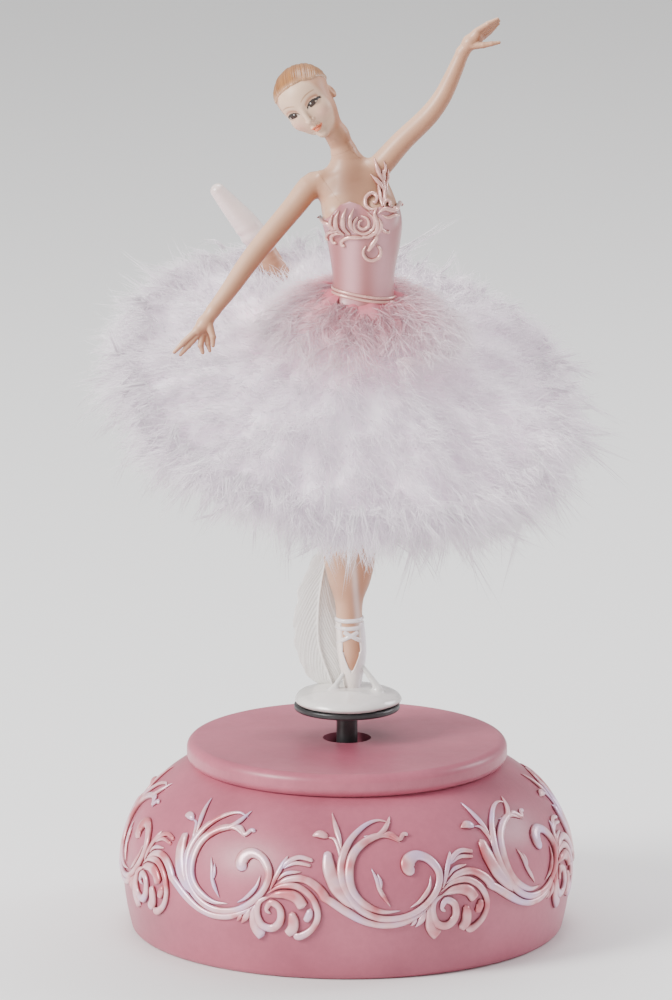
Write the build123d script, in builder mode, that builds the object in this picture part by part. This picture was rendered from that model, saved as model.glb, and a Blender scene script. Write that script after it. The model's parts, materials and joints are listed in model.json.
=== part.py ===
"""Ballerina musical jewellery box.

A domed resin base on a ring foot holds an 18-note cylinder movement. Its spring barrel stands on
the vertical axis: the winding key is below it, in a recess under the base, and above it a spindle
passes through the top plate and carries the dancer. The origin is the centre of the resting face,
on the spindle axis; +Z is up and the dancer faces -Y. Millimetres and degrees.
"""

import os
from math import asin, atan2, cos, degrees, pi, radians, sin, sqrt

from build123d import *

os.makedirs("parts", exist_ok=True)

# ---- driving dimensions ----------------------------------------------------------------------

# base shell: a side arc from the foot to the widest ring, then a round shoulder up to the top land
FOOT_R = 52.8
BASE_R = 55.2
SIDE_BOW = 0.73
WIDEST_Z = 15.9
SHOULDER_R = 28.0
SHOULDER_WALL = 4.0
RECESS_R = 48.8
LAND_Z = 41.8
LAND_THICKNESS = 4.0
SHELL_MOUTH_R = 31.0
FOOT_ROUND = 1.8
SHOULDER_CENTRE_R = BASE_R - SHOULDER_R

# raised scrollwork on the shell
SCROLL_COUNT = 8
SCROLL_STEP = 360 / SCROLL_COUNT
FIRST_SCROLL = -90 + 14
SCROLL_RISE = 0.9
SCROLL_MID_Z = 23.0
SCROLL_PLANE_R = BASE_R + 2.0
SCROLL_DEPTH = 20.0

# top plate
PLATE_R = 39.4
PLATE_TOP_Z = 47.5
PLATE_EDGE = 2.2
PLATE_HOLE_R = 5.95
SPIGOT_R = 30.7
SPIGOT_INNER_R = 26.5
SPIGOT_DEPTH = 2.0

# bottom cover and its screws
COVER_R = 48.4
COVER_Z = 13.0
COVER_THICKNESS = 3.0
COVER_HOLE_R = 6.2
COVER_POST_R = 4.0
COVER_POST_RING = 43.5
COVER_POST_TOP = 34.0
COVER_SCREW_R = 1.3
COVER_SCREW_LENGTH = 11.0
SCREW_CLEARANCE = 0.3
COVER_ANGLES = (60, 180, 300)

# movement bedplate
BED_Z = COVER_Z + COVER_THICKNESS
BED_THICKNESS = 3.0
BED_TOP = BED_Z + BED_THICKNESS
BED_CENTRE = (13.5, 2.0)
BED_SIZE = (55.0, 44.0)
BED_CORNER = 5.0
BED_SCREWS = ((-8.0, 14.0), (-8.0, -13.0), (37.5, 12.0))
BED_SCREW_R = 1.2
BED_SCREW_LENGTH = 5.6
SMALL_SCREW_R = 0.8
SMALL_SCREW_LENGTH = 2.6

# winding: arbor, bush, clutch spring and key
ARBOR_R = 2.0
RUNNING_FIT = 0.05
BUSH_R = 4.0
BUSH_FLANGE_R = 6.0
BUSH_FLANGE = 1.6
BUSH_BOTTOM = 14.6
ARBOR_BOTTOM = 4.5
ARBOR_TOP = 30.6
KEY_BOTTOM = 2.2
KEY_HUB_R = 3.2
KEY_HUB_TOP = 9.2
KEY_WING_REACH = 7.2
KEY_WING_R = 4.4
KEY_WING_HOLE_R = 1.9
KEY_THICKNESS = 1.8
CLUTCH_WIRE_R = 0.35
CLUTCH_COIL_R = 2.8
CLUTCH_PITCH = 0.9
CLUTCH_BOTTOM = 9.9
CLUTCH_TURNS = 4.5

# gearing: the barrel's crown teeth turn the cylinder, whose wheel turns the governor and its worm
ADDENDUM = 0.78
DEDENDUM = 1.10
CROWN_MODULE = 0.7
CROWN_TEETH = 36
CYLINDER_PINION_TEETH = 12
GOVERNOR_MODULE = 0.5
CYLINDER_WHEEL_TEETH = 30
GOVERNOR_PINION_TEETH = 10
WORM_WHEEL_TEETH = 18
CROWN_R = CROWN_MODULE * CROWN_TEETH / 2
CROWN_FACE = 2.4
PINION_R = CROWN_MODULE * CYLINDER_PINION_TEETH / 2

# spring barrel and mainspring
BARREL_Z = 21.1
BARREL_FLOOR = 1.0
BARREL_R = 10.9
BARREL_BORE_R = 10.0
BARREL_TOP = 32.0
BARREL_CAP = 1.0
CROWN_RIM_R = 14.0
SPRING_TURNS = 7
SPRING_INNER_R = 2.9
SPRING_OUTER_R = 9.6
SPRING_STRIP = 0.35
SPRING_HEIGHT = 7.6
STUD_R = 1.6
STUD_TOP = 40.0

# cylinder, comb and their bearings
CYLINDER_Z = 28.0
CYLINDER_R = 6.4
CYLINDER_X = 16.4
CYLINDER_LENGTH = 13.8
CYLINDER_WALL = 0.8
CYLINDER_SHAFT_R = 1.2
PIN_R = 0.22
PIN_RISE = 0.7
NOTES = 18
PINS_PER_NOTE = 3
CYLINDER_WHEEL_X = 30.8
WHEEL_WIDTH = 1.2
INNER_BEARING_X = 14.5
OUTER_BEARING_X = 32.4
BEARING_WIDTH = 1.4
BEARING_HALF = 3.0
BEARING_FOOT = (3.6, 10.5, 1.2)
COMB_TIP_Y = 7.5
COMB_ROOT_Y = 16.5
COMB_HEEL_Y = 23.0
COMB_TOOTH = 0.5
COMB_STEEL = 0.7
COMB_HEEL = 1.2
COMB_Z = 27.6
COMB_SCREWS_X = (19.5, 27.1)

# governor
GOVERNOR_Z = 24.5
GOVERNOR_SHAFT_R = 0.8
WORM_WHEEL_X = 34.5
WORM_WHEEL_WIDTH = 1.5
WORM_PITCH_R = 1.3
WORM_CREST_R = 1.68
WORM_TURNS = 4
FLY_Z = 29.2
FLY_HEIGHT = 3.0
FLY_R = 3.6
FLY_BLADE = 0.35
GOVERNOR_ARM_Z = 32.6
GOVERNOR_ARM = 1.4
GOVERNOR_COLUMN_X = 28.6
GOVERNOR_COLUMN = 2.0
GOVERNOR_FOOT = 1.0
GOVERNOR_RIGHT = 39.2
GOVERNOR_FRONT = -19.4
GOVERNOR_BACK = -6.4
GOVERNOR_SCREWS = ((37.4, -17.6), (30.6, -9.2))
GOVERNOR_POSTS_X = (32.5, 36.9)
GOVERNOR_POST = 1.1
GOVERNOR_POST_HALF = 2.2

# turntable
SPINDLE_R = 2.6
SPINDLE_COLLAR_R = 4.5
SPINDLE_COLLAR_TOP = 36.0
DISC_Z = 54.8
DISC_R = 13.0
DISC_THICKNESS = 1.5
DISC_TOP = DISC_Z + DISC_THICKNESS

# figure
PLINTH_R = 13.2
PLINTH_TOP = 60.4
SHOE_TOP = 76.0
TRIM_RISE = 0.8
HEAD_CENTRE = (-10.4, -0.6, 206.6)
HEAD_TILT = 34.0
HEAD_HALF_WIDTH = 6.7
HEAD_HALF_HEIGHT = 9.6
HAIR_THICKNESS = 0.7
HAIRLINE_RISE = 3.0
HAIRLINE_LEAN = 0.9
BUN_R = 3.6
BUN_RISE = 5.0
BUN_BACK = 8.2

# skirt: a mushroom of feathers from the waist out to a rim tilted down at the front
SKIRT_R = 60.5
SKIRT_CENTRE = (0.2, -0.6, 133.4)
SKIRT_TILT = 27.0
SKIRT_ROLL = 6.0
SKIRT_HALF = 8.5
SKIRT_SECTIONS = ((SKIRT_HALF + 3.5, 0.62), (SKIRT_HALF - 3.5, 0.94), (0, 1.0), (-SKIRT_HALF, 0.9))
SKIRT_WAIST = (3.6, -0.4, 155.4)
SKIRT_WAIST_R = 9.0
SKIRT_HOLLOW_R = 30.0
SKIRT_HOLLOW_TOP_R = 12.5
SKIRT_HOLLOW_HEIGHT = 14.0
PETALS_TOP = (3.7, -0.2, 158.2)
PETALS_TOP_R = 9.2
PETALS_EDGE = (3.2, -1.6, 153.6)
PETALS_EDGE_R = 21.0
CLOTH_GAP = 0.4

# ---- worked out from them --------------------------------------------------------------------

land_angle = degrees(asin((LAND_Z - WIDEST_Z) / SHOULDER_R))
land_r = SHOULDER_CENTRE_R + SHOULDER_R * cos(radians(land_angle))
inner_shoulder_r = SHOULDER_R - SHOULDER_WALL
ceiling_z = LAND_Z - LAND_THICKNESS
ceiling_angle = degrees(asin((ceiling_z - WIDEST_Z) / inner_shoulder_r))
recess_angle = degrees(atan2(sqrt(inner_shoulder_r**2 - (RECESS_R - SHOULDER_CENTRE_R) ** 2),
                             RECESS_R - SHOULDER_CENTRE_R))
governor_centres = GOVERNOR_MODULE * (CYLINDER_WHEEL_TEETH + GOVERNOR_PINION_TEETH) / 2
governor_drop = CYLINDER_Z - GOVERNOR_Z
governor_y = -sqrt(governor_centres**2 - governor_drop**2)
mesh_angle = degrees(atan2(governor_drop, -governor_y))
worm_x = WORM_WHEEL_X + WORM_WHEEL_WIDTH / 2
worm_y = governor_y - GOVERNOR_MODULE * WORM_WHEEL_TEETH / 2 - WORM_PITCH_R
worm_pitch = pi * GOVERNOR_MODULE
crown_pitch_z = CYLINDER_Z - PINION_R
side_mid_r = FOOT_R + SIDE_BOW * (BASE_R - FOOT_R)
head_up = Vector(-sin(radians(HEAD_TILT)), 0, cos(radians(HEAD_TILT)))
head_plane = Plane(origin=HEAD_CENTRE, x_dir=(head_up.Z, 0, -head_up.X), z_dir=(0, -1, 0))
skirt_normal = Vector(
    sin(radians(SKIRT_ROLL)), -sin(radians(SKIRT_TILT)), cos(radians(SKIRT_TILT))
).normalized()
skirt_across = Vector(0, 1, 0).cross(skirt_normal).normalized()
waist_normal = Vector(0.03, -0.2, 1).normalized()
cover_screw_points = [
    (COVER_POST_RING * cos(radians(a)), COVER_POST_RING * sin(radians(a))) for a in COVER_ANGLES
]


def shoulder_point(radius, angle):
    """A point of an arc about the shoulder's centre, in the radius-height plane."""
    return (
        SHOULDER_CENTRE_R + radius * cos(radians(angle)),
        WIDEST_Z + radius * sin(radians(angle)),
    )


def spur_gear(plane, module, teeth, width, bore, first_tooth):
    """A straight-toothed wheel with slim tapered teeth, one of them at first_tooth degrees."""
    root = module * (teeth / 2 - DEDENDUM)
    tip = module * (teeth / 2 + ADDENDUM)
    root_half = 0.27 * module * pi
    tip_half = 0.08 * module * pi
    with BuildPart() as gear:
        with BuildSketch(plane):
            Circle(root)
            with PolarLocations(root, teeth, start_angle=first_tooth):
                Polygon(
                    (-0.1, -root_half),
                    (tip - root, -tip_half),
                    (tip - root, tip_half),
                    (-0.1, root_half),
                    align=None,
                )
            Circle(bore, mode=Mode.SUBTRACT)
        extrude(amount=width)
    return gear


def round_pins(points, z, radius, height):
    """Equal upright pins that stand on height z at each (x, y) point."""
    with BuildPart() as pins:
        with BuildSketch(Plane.XY.offset(z)):
            with Locations(*points):
                Circle(radius)
        extrude(amount=height)
    return pins


def screws(points, seat, shank_r, length, upward):
    """Equal pan-head screws with a driver slot; the shank runs up or down from the seat height."""
    head_r = 2.1 * shank_r
    head = 1.2 * shank_r
    turn = 1 if upward else -1
    with BuildPart() as group:
        with BuildSketch(Plane.XY.offset(seat)):
            with Locations(*points):
                Circle(shank_r)
        extrude(amount=turn * length)
        with BuildSketch(Plane.XY.offset(seat)):
            with Locations(*points):
                Circle(head_r)
        extrude(amount=-turn * head)
        with BuildSketch(Plane.XY.offset(seat - turn * head)):
            with Locations(*points):
                Rectangle(1.6 * head_r, 0.45 * shank_r)
        extrude(amount=turn * head / 2, mode=Mode.SUBTRACT)
    return group


def limb(stations, grow=0.0):
    """A smooth limb through round or oval sections.

    Each station is (x, y, z, half width, half depth). A section stands square to the line between
    its neighbours; grow widens all of them, for the clearance that a soft piece needs.
    """
    points = [Vector(*station[:3]) for station in stations]
    with BuildPart() as body:
        for i, station in enumerate(stations):
            before = points[max(i - 1, 0)]
            after = points[min(i + 1, len(points) - 1)]
            along = (after - before).normalized()
            across = Vector(0, 1, 0).cross(along).normalized()
            with BuildSketch(Plane(origin=points[i], x_dir=across, z_dir=along)):
                Ellipse(station[3] + grow, station[4] + grow)
        loft()
    return body


# ---- base ------------------------------------------------------------------------------------

# base shell: resin casting with a round shoulder, a recess below and posts for the cover screws
with BuildPart() as base_shell:
    with BuildSketch(Plane.XZ):
        with BuildLine():
            ThreePointArc((FOOT_R, 0), (side_mid_r, WIDEST_Z / 2), (BASE_R, WIDEST_Z))
            CenterArc((SHOULDER_CENTRE_R, WIDEST_Z), SHOULDER_R, 0, land_angle)
            Polyline(
                (land_r, LAND_Z),
                (SHELL_MOUTH_R, LAND_Z),
                (SHELL_MOUTH_R, ceiling_z),
                shoulder_point(inner_shoulder_r, ceiling_angle),
            )
            CenterArc(
                (SHOULDER_CENTRE_R, WIDEST_Z),
                inner_shoulder_r,
                recess_angle,
                ceiling_angle - recess_angle,
            )
            Polyline(
                shoulder_point(inner_shoulder_r, recess_angle),
                (RECESS_R, 0),
                (FOOT_R, 0),
            )
        make_face()
    revolve(axis=Axis.Z)
    foot_circles = base_shell.edges().filter_by(GeomType.CIRCLE).group_by(Axis.Z)[0]
    fillet(foot_circles.sort_by(SortBy.RADIUS)[-1], FOOT_ROUND)
    with BuildSketch(Plane.XY.offset(BED_Z)):
        with Locations(*cover_screw_points):
            Circle(COVER_POST_R)
    extrude(amount=COVER_POST_TOP - BED_Z)
    with Locations(*[(x, y, BED_Z) for x, y in cover_screw_points]):
        Cylinder(
            COVER_SCREW_R,
            COVER_SCREW_LENGTH,
            align=(Align.CENTER, Align.CENTER, Align.MIN),
            mode=Mode.SUBTRACT,
        )
base_shell.part.label = "base_shell"
export_step(base_shell.part, "parts/base_shell.step")

# the thin skin just outside the shell that the scrollwork fills
with BuildPart() as scroll_skin:
    with BuildSketch(Plane.XZ):
        with BuildLine():
            skin_r = SHOULDER_R + SCROLL_RISE
            CenterArc((SHOULDER_CENTRE_R, WIDEST_Z), SHOULDER_R, 0, land_angle)
            Line(shoulder_point(SHOULDER_R, land_angle), shoulder_point(skin_r, land_angle))
            CenterArc((SHOULDER_CENTRE_R, WIDEST_Z), skin_r, 0, land_angle)
            ThreePointArc((FOOT_R, 0), (side_mid_r, WIDEST_Z / 2), (BASE_R, WIDEST_Z))
            ThreePointArc(
                (FOOT_R + SCROLL_RISE, 0),
                (side_mid_r + SCROLL_RISE, WIDEST_Z / 2),
                (BASE_R + SCROLL_RISE, WIDEST_Z),
            )
            Line((FOOT_R, 0), (FOOT_R + SCROLL_RISE, 0))
        make_face()
    revolve(axis=Axis.Z)

# scrollwork: eight equal groups of C-scroll, volutes, leaves and tendrils in low relief
scroll_planes = [
    Plane(
        origin=(SCROLL_PLANE_R * cos(radians(a)), SCROLL_PLANE_R * sin(radians(a)), SCROLL_MID_Z),
        x_dir=(-sin(radians(a)), cos(radians(a)), 0),
        z_dir=(cos(radians(a)), sin(radians(a)), 0),
    )
    for a in [FIRST_SCROLL + SCROLL_STEP * k for k in range(SCROLL_COUNT)]
]
scroll_arcs = [
    (CenterArc((-2, 0), 9.5, 95, 235), 1.7),
    (CenterArc((-2, 0.5), 6.5, 120, 150), 1.0),
    (CenterArc((12.2, -3.6), 3.4, 20, 230), 1.3),
    (CenterArc((9.5, -2.0), 9.0, -75, 95), 1.2),
]
with BuildPart() as base_scrolls:
    with BuildSketch(*scroll_planes):
        for arc, width in scroll_arcs:
            SlotArc(arc, width)
        with Locations((6.6, 2.0)):
            Circle(2.8)
        with Locations((-12.6, -1.5)):
            Ellipse(4.6, 1.5, rotation=70)
        with Locations((7.5, 9.5)):
            Ellipse(3.8, 1.2, rotation=-35)
    extrude(amount=-SCROLL_DEPTH)
    add(scroll_skin.part, mode=Mode.INTERSECT)
base_scrolls.part.label = "base_scrolls"
export_step(base_scrolls.part, "parts/base_scrolls.step")

# top plate: a round-edged disc whose spigot drops into the shell's mouth
with BuildPart() as top_plate:
    with BuildSketch(Plane.XY.offset(LAND_Z)):
        Circle(PLATE_R)
    extrude(amount=PLATE_TOP_Z - LAND_Z)
    fillet(top_plate.edges().filter_by(GeomType.CIRCLE), PLATE_EDGE)
    with BuildSketch(Plane.XY.offset(LAND_Z)):
        Circle(SPIGOT_R)
        Circle(SPIGOT_INNER_R, mode=Mode.SUBTRACT)
    extrude(amount=-SPIGOT_DEPTH)
    with Locations((0, 0, PLATE_TOP_Z)):
        Hole(PLATE_HOLE_R)
top_plate.part.label = "top_plate"
export_step(top_plate.part, "parts/top_plate.step")

# bottom cover: closes the movement's chamber and leaves the recess for the key
with BuildPart() as bottom_cover:
    with BuildSketch(Plane.XY.offset(COVER_Z)):
        Circle(COVER_R)
        Circle(COVER_HOLE_R, mode=Mode.SUBTRACT)
        with Locations(*cover_screw_points):
            Circle(COVER_SCREW_R + SCREW_CLEARANCE, mode=Mode.SUBTRACT)
        with Locations(*BED_SCREWS):
            Circle(BED_SCREW_R + SCREW_CLEARANCE, mode=Mode.SUBTRACT)
    extrude(amount=COVER_THICKNESS)
bottom_cover.part.label = "bottom_cover"
export_step(bottom_cover.part, "parts/bottom_cover.step")

cover_screws = screws(cover_screw_points, COVER_Z, COVER_SCREW_R, COVER_SCREW_LENGTH, upward=True)
cover_screws.part.label = "cover_screws"
export_step(cover_screws.part, "parts/cover_screws.step")

# ---- movement --------------------------------------------------------------------------------

# bedplate: die-cast plate with the comb's pad, bored for the arbor's bush and the worm's pivot
comb_centre_x = CYLINDER_X + CYLINDER_LENGTH / 2
comb_heel_mid = (COMB_ROOT_Y + COMB_HEEL_Y) / 2
inner_screw = (INNER_BEARING_X + BEARING_FOOT[0] / 2 + 0.3, BEARING_FOOT[1] / 2)
outer_screw = (OUTER_BEARING_X + BEARING_FOOT[0] / 2 + 0.3, BEARING_FOOT[1] / 2)
with BuildPart() as bedplate:
    with BuildSketch(Plane.XY.offset(BED_Z)):
        with Locations(BED_CENTRE):
            RectangleRounded(*BED_SIZE, BED_CORNER)
    extrude(amount=BED_THICKNESS)
    with BuildSketch(Plane.XY.offset(BED_TOP)):
        with Locations((comb_centre_x, comb_heel_mid)):
            Rectangle(CYLINDER_LENGTH, COMB_HEEL_Y - COMB_ROOT_Y)
    extrude(amount=COMB_Z - BED_TOP)
    with BuildSketch(Plane.XY.offset(BED_Z)):
        Circle(BUSH_R)
        with Locations(*BED_SCREWS):
            Circle(BED_SCREW_R)
        with Locations((worm_x, worm_y)):
            Circle(GOVERNOR_SHAFT_R + RUNNING_FIT)
        with Locations(inner_screw, outer_screw, *GOVERNOR_SCREWS):
            Circle(SMALL_SCREW_R)
    extrude(amount=BED_THICKNESS, mode=Mode.SUBTRACT)
    with BuildSketch(Plane.XY.offset(COMB_Z)):
        with Locations(*[(x, comb_heel_mid) for x in COMB_SCREWS_X]):
            Circle(SMALL_SCREW_R)
    extrude(amount=-SMALL_SCREW_LENGTH - COMB_HEEL, mode=Mode.SUBTRACT)
bedplate.part.label = "bedplate"
export_step(bedplate.part, "parts/bedplate.step")

bedplate_screws = screws(BED_SCREWS, COVER_Z, BED_SCREW_R, BED_SCREW_LENGTH, upward=True)
bedplate_screws.part.label = "bedplate_screws"
export_step(bedplate_screws.part, "parts/bedplate_screws.step")

# arbor bush: flanged brass bearing pressed into the bedplate
with BuildPart() as arbor_bush:
    with BuildSketch(Plane.XY.offset(BUSH_BOTTOM)):
        Circle(BUSH_R)
    extrude(amount=BED_TOP - BUSH_BOTTOM)
    with BuildSketch(Plane.XY.offset(BED_TOP)):
        Circle(BUSH_FLANGE_R)
    extrude(amount=BUSH_FLANGE)
    with Locations((0, 0, BED_TOP + BUSH_FLANGE)):
        Hole(ARBOR_R + RUNNING_FIT)
arbor_bush.part.label = "arbor_bush"
export_step(arbor_bush.part, "parts/arbor_bush.step")

# clutch spring: wraps the arbor under the bush and lets it turn one way only
with BuildPart() as clutch_spring:
    with BuildLine():
        clutch_coil = Helix(
            CLUTCH_PITCH,
            CLUTCH_PITCH * CLUTCH_TURNS,
            CLUTCH_COIL_R,
            center=(0, 0, CLUTCH_BOTTOM),
        )
    with BuildSketch(Plane(origin=clutch_coil @ 0, z_dir=clutch_coil % 0)):
        Circle(CLUTCH_WIRE_R)
    sweep(is_frenet=True)
clutch_spring.part.label = "clutch_spring"
export_step(clutch_spring.part, "parts/clutch_spring.step")

# winding arbor: steel shaft from the key up into the barrel
winding_arbor = round_pins([(0, 0)], ARBOR_BOTTOM, ARBOR_R, ARBOR_TOP - ARBOR_BOTTOM)
winding_arbor.part.label = "winding_arbor"
export_step(winding_arbor.part, "parts/winding_arbor.step")

# winding key: two round wings with finger holes on a hub that screws onto the arbor
wing_z = KEY_BOTTOM + KEY_WING_R
with BuildPart() as winding_key:
    with BuildSketch(Plane.XZ.offset(-KEY_THICKNESS / 2)):
        with Locations((-KEY_WING_REACH, wing_z), (KEY_WING_REACH, wing_z)):
            Circle(KEY_WING_R)
        with Locations((0, wing_z)):
            Rectangle(2 * KEY_WING_REACH, 0.9 * KEY_WING_R)
    extrude(amount=KEY_THICKNESS)
    with BuildSketch(Plane.XZ.offset(-KEY_THICKNESS / 2)):
        with Locations((-KEY_WING_REACH, wing_z), (KEY_WING_REACH, wing_z)):
            Circle(KEY_WING_HOLE_R)
    extrude(amount=KEY_THICKNESS, mode=Mode.SUBTRACT)
    with BuildSketch(Plane.XY.offset(KEY_BOTTOM)):
        Circle(KEY_HUB_R)
    extrude(amount=KEY_HUB_TOP - KEY_BOTTOM)
    with BuildSketch(Plane.XY.offset(ARBOR_BOTTOM)):
        Circle(ARBOR_R)
    extrude(amount=KEY_HUB_TOP - ARBOR_BOTTOM, mode=Mode.SUBTRACT)
winding_key.part.label = "winding_key"
export_step(winding_key.part, "parts/winding_key.step")

# spring barrel: drum with a rim of crown teeth that face up
crown_root_z = crown_pitch_z - DEDENDUM * CROWN_MODULE
crown_tip_z = crown_pitch_z + ADDENDUM * CROWN_MODULE
crown_planes = [
    Plane(
        origin=(
            (CROWN_R - CROWN_FACE / 2) * cos(radians(a)),
            (CROWN_R - CROWN_FACE / 2) * sin(radians(a)),
            0,
        ),
        x_dir=(-sin(radians(a)), cos(radians(a)), 0),
        z_dir=(cos(radians(a)), sin(radians(a)), 0),
    )
    for a in [(k + 0.5) * 360 / CROWN_TEETH for k in range(CROWN_TEETH)]
]
with BuildPart() as spring_barrel:
    with BuildSketch(Plane.XY.offset(BARREL_Z)):
        Circle(CROWN_RIM_R)
    extrude(amount=crown_root_z - BARREL_Z)
    with BuildSketch(*crown_planes):
        Polygon(
            (-0.24 * CROWN_MODULE * pi, crown_root_z - 0.1),
            (0.24 * CROWN_MODULE * pi, crown_root_z - 0.1),
            (0.08 * CROWN_MODULE * pi, crown_tip_z),
            (-0.08 * CROWN_MODULE * pi, crown_tip_z),
            align=None,
        )
    extrude(amount=CROWN_FACE)
    with BuildSketch(Plane.XY.offset(BARREL_Z)):
        Circle(BARREL_R)
    extrude(amount=BARREL_TOP - BARREL_Z)
    with BuildSketch(Plane.XY.offset(BARREL_Z + BARREL_FLOOR)):
        Circle(BARREL_BORE_R)
    extrude(amount=BARREL_TOP - BARREL_Z, mode=Mode.SUBTRACT)
    with Locations((0, 0, BARREL_Z + BARREL_FLOOR)):
        Hole(ARBOR_R + RUNNING_FIT)
spring_barrel.part.label = "spring_barrel"
export_step(spring_barrel.part, "parts/spring_barrel.step")

# barrel cap: closes the drum and carries the stud that the spindle screws onto
with BuildPart() as barrel_cap:
    with BuildSketch(Plane.XY.offset(BARREL_TOP - BARREL_CAP)):
        Circle(BARREL_BORE_R)
    extrude(amount=BARREL_CAP)
    with BuildSketch(Plane.XY.offset(BARREL_TOP)):
        Circle(STUD_R)
    extrude(amount=STUD_TOP - BARREL_TOP)
barrel_cap.part.label = "barrel_cap"
export_step(barrel_cap.part, "parts/barrel_cap.step")

# mainspring: a flat spiral strip, half wound, between the arbor and the drum's wall
spiral_steps = 12 * SPRING_TURNS
spiral_pitch = (SPRING_OUTER_R - SPRING_INNER_R - SPRING_STRIP) / SPRING_TURNS


def spiral_points(offset):
    """Points of the strip's inner or outer side, twelve to a turn."""
    return [
        (
            (SPRING_INNER_R + offset + spiral_pitch * k / 12) * cos(radians(30 * k)),
            (SPRING_INNER_R + offset + spiral_pitch * k / 12) * sin(radians(30 * k)),
        )
        for k in range(spiral_steps + 1)
    ]


inner_side = spiral_points(0)
outer_side = spiral_points(SPRING_STRIP)
with BuildPart() as mainspring:
    with BuildSketch(Plane.XY.offset(BARREL_Z + BARREL_FLOOR + 0.3)):
        with BuildLine():
            Spline(*inner_side)
            Spline(*outer_side)
            Line(inner_side[0], outer_side[0])
            Line(inner_side[-1], outer_side[-1])
        make_face()
    extrude(amount=SPRING_HEIGHT)
mainspring.part.label = "mainspring"
export_step(mainspring.part, "parts/mainspring.step")

# pinned cylinder: thin brass tube with end discs, set with the tune's pins
note_pitch = CYLINDER_LENGTH / NOTES
pin_planes = [
    Plane(
        origin=(CYLINDER_X + note_pitch * (note + 0.5), 0, CYLINDER_Z),
        x_dir=(1, 0, 0),
        z_dir=(0, cos(radians(a)), sin(radians(a))),
    )
    for note in range(NOTES)
    for a in [37 * note + 360 / PINS_PER_NOTE * k + 11 * k * k for k in range(PINS_PER_NOTE)]
]
cylinder_plane = Plane.YZ.offset(CYLINDER_X)
with BuildPart() as pinned_cylinder:
    with BuildSketch(*[p.offset(CYLINDER_R - CYLINDER_WALL / 2) for p in pin_planes]):
        Circle(PIN_R)
    extrude(amount=CYLINDER_WALL / 2 + PIN_RISE)
    with BuildSketch(cylinder_plane):
        with Locations((0, CYLINDER_Z)):
            Circle(CYLINDER_R)
            Circle(CYLINDER_SHAFT_R, mode=Mode.SUBTRACT)
    extrude(amount=CYLINDER_LENGTH)
    with BuildSketch(cylinder_plane.offset(CYLINDER_WALL)):
        with Locations((0, CYLINDER_Z)):
            Circle(CYLINDER_R - CYLINDER_WALL)
            Circle(CYLINDER_SHAFT_R + CYLINDER_WALL, mode=Mode.SUBTRACT)
    extrude(amount=CYLINDER_LENGTH - 2 * CYLINDER_WALL, mode=Mode.SUBTRACT)
pinned_cylinder.part.label = "pinned_cylinder"
export_step(pinned_cylinder.part, "parts/pinned_cylinder.step")

# cylinder shaft
shaft_start = CROWN_R - CROWN_FACE / 2
with BuildPart() as cylinder_shaft:
    with BuildSketch(Plane.YZ.offset(shaft_start)):
        with Locations((0, CYLINDER_Z)):
            Circle(CYLINDER_SHAFT_R)
    extrude(amount=OUTER_BEARING_X + BEARING_WIDTH + 0.3 - shaft_start)
cylinder_shaft.part.label = "cylinder_shaft"
export_step(cylinder_shaft.part, "parts/cylinder_shaft.step")

# cylinder pinion: driven by the crown teeth, one tooth straight down between two of them
cylinder_pinion = spur_gear(
    Plane.YZ.offset(shaft_start).shift_origin((shaft_start, 0, CYLINDER_Z)),
    CROWN_MODULE,
    CYLINDER_PINION_TEETH,
    CROWN_FACE,
    CYLINDER_SHAFT_R,
    first_tooth=-90,
)
cylinder_pinion.part.label = "cylinder_pinion"
export_step(cylinder_pinion.part, "parts/cylinder_pinion.step")

# cylinder wheel: a tooth points at the governor pinion
cylinder_wheel = spur_gear(
    Plane.YZ.offset(CYLINDER_WHEEL_X).shift_origin((CYLINDER_WHEEL_X, 0, CYLINDER_Z)),
    GOVERNOR_MODULE,
    CYLINDER_WHEEL_TEETH,
    WHEEL_WIDTH,
    CYLINDER_SHAFT_R,
    first_tooth=180 + mesh_angle,
)
cylinder_wheel.part.label = "cylinder_wheel"
export_step(cylinder_wheel.part, "parts/cylinder_wheel.step")

# cylinder bearings: a post with a round top at each end, on a foot screwed to the bedplate
with BuildPart() as cylinder_bearings:
    for x in (INNER_BEARING_X, OUTER_BEARING_X):
        with BuildSketch(Plane.YZ.offset(x)):
            with Locations((0, (BED_TOP + CYLINDER_Z) / 2)):
                Rectangle(2 * BEARING_HALF, CYLINDER_Z - BED_TOP)
            with Locations((0, CYLINDER_Z)):
                Circle(BEARING_HALF)
                Circle(CYLINDER_SHAFT_R + RUNNING_FIT, mode=Mode.SUBTRACT)
        extrude(amount=BEARING_WIDTH)
        foot_y = BEARING_FOOT[1] / 2 - BEARING_HALF
        with BuildSketch(Plane.XY.offset(BED_TOP)):
            with Locations((x + BEARING_FOOT[0] / 2, foot_y + BEARING_HALF / 2)):
                Rectangle(BEARING_FOOT[0], BEARING_FOOT[1])
        extrude(amount=BEARING_FOOT[2])
    with BuildSketch(Plane.XY.offset(BED_TOP)):
        with Locations(inner_screw, outer_screw):
            Circle(SMALL_SCREW_R)
    extrude(amount=BEARING_FOOT[2], mode=Mode.SUBTRACT)
cylinder_bearings.part.label = "cylinder_bearings"
export_step(cylinder_bearings.part, "parts/cylinder_bearings.step")

bearing_screws = screws(
    [inner_screw, outer_screw],
    BED_TOP + BEARING_FOOT[2],
    SMALL_SCREW_R,
    SMALL_SCREW_LENGTH,
    upward=False,
)
bearing_screws.part.label = "bearing_screws"
export_step(bearing_screws.part, "parts/bearing_screws.step")

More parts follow.
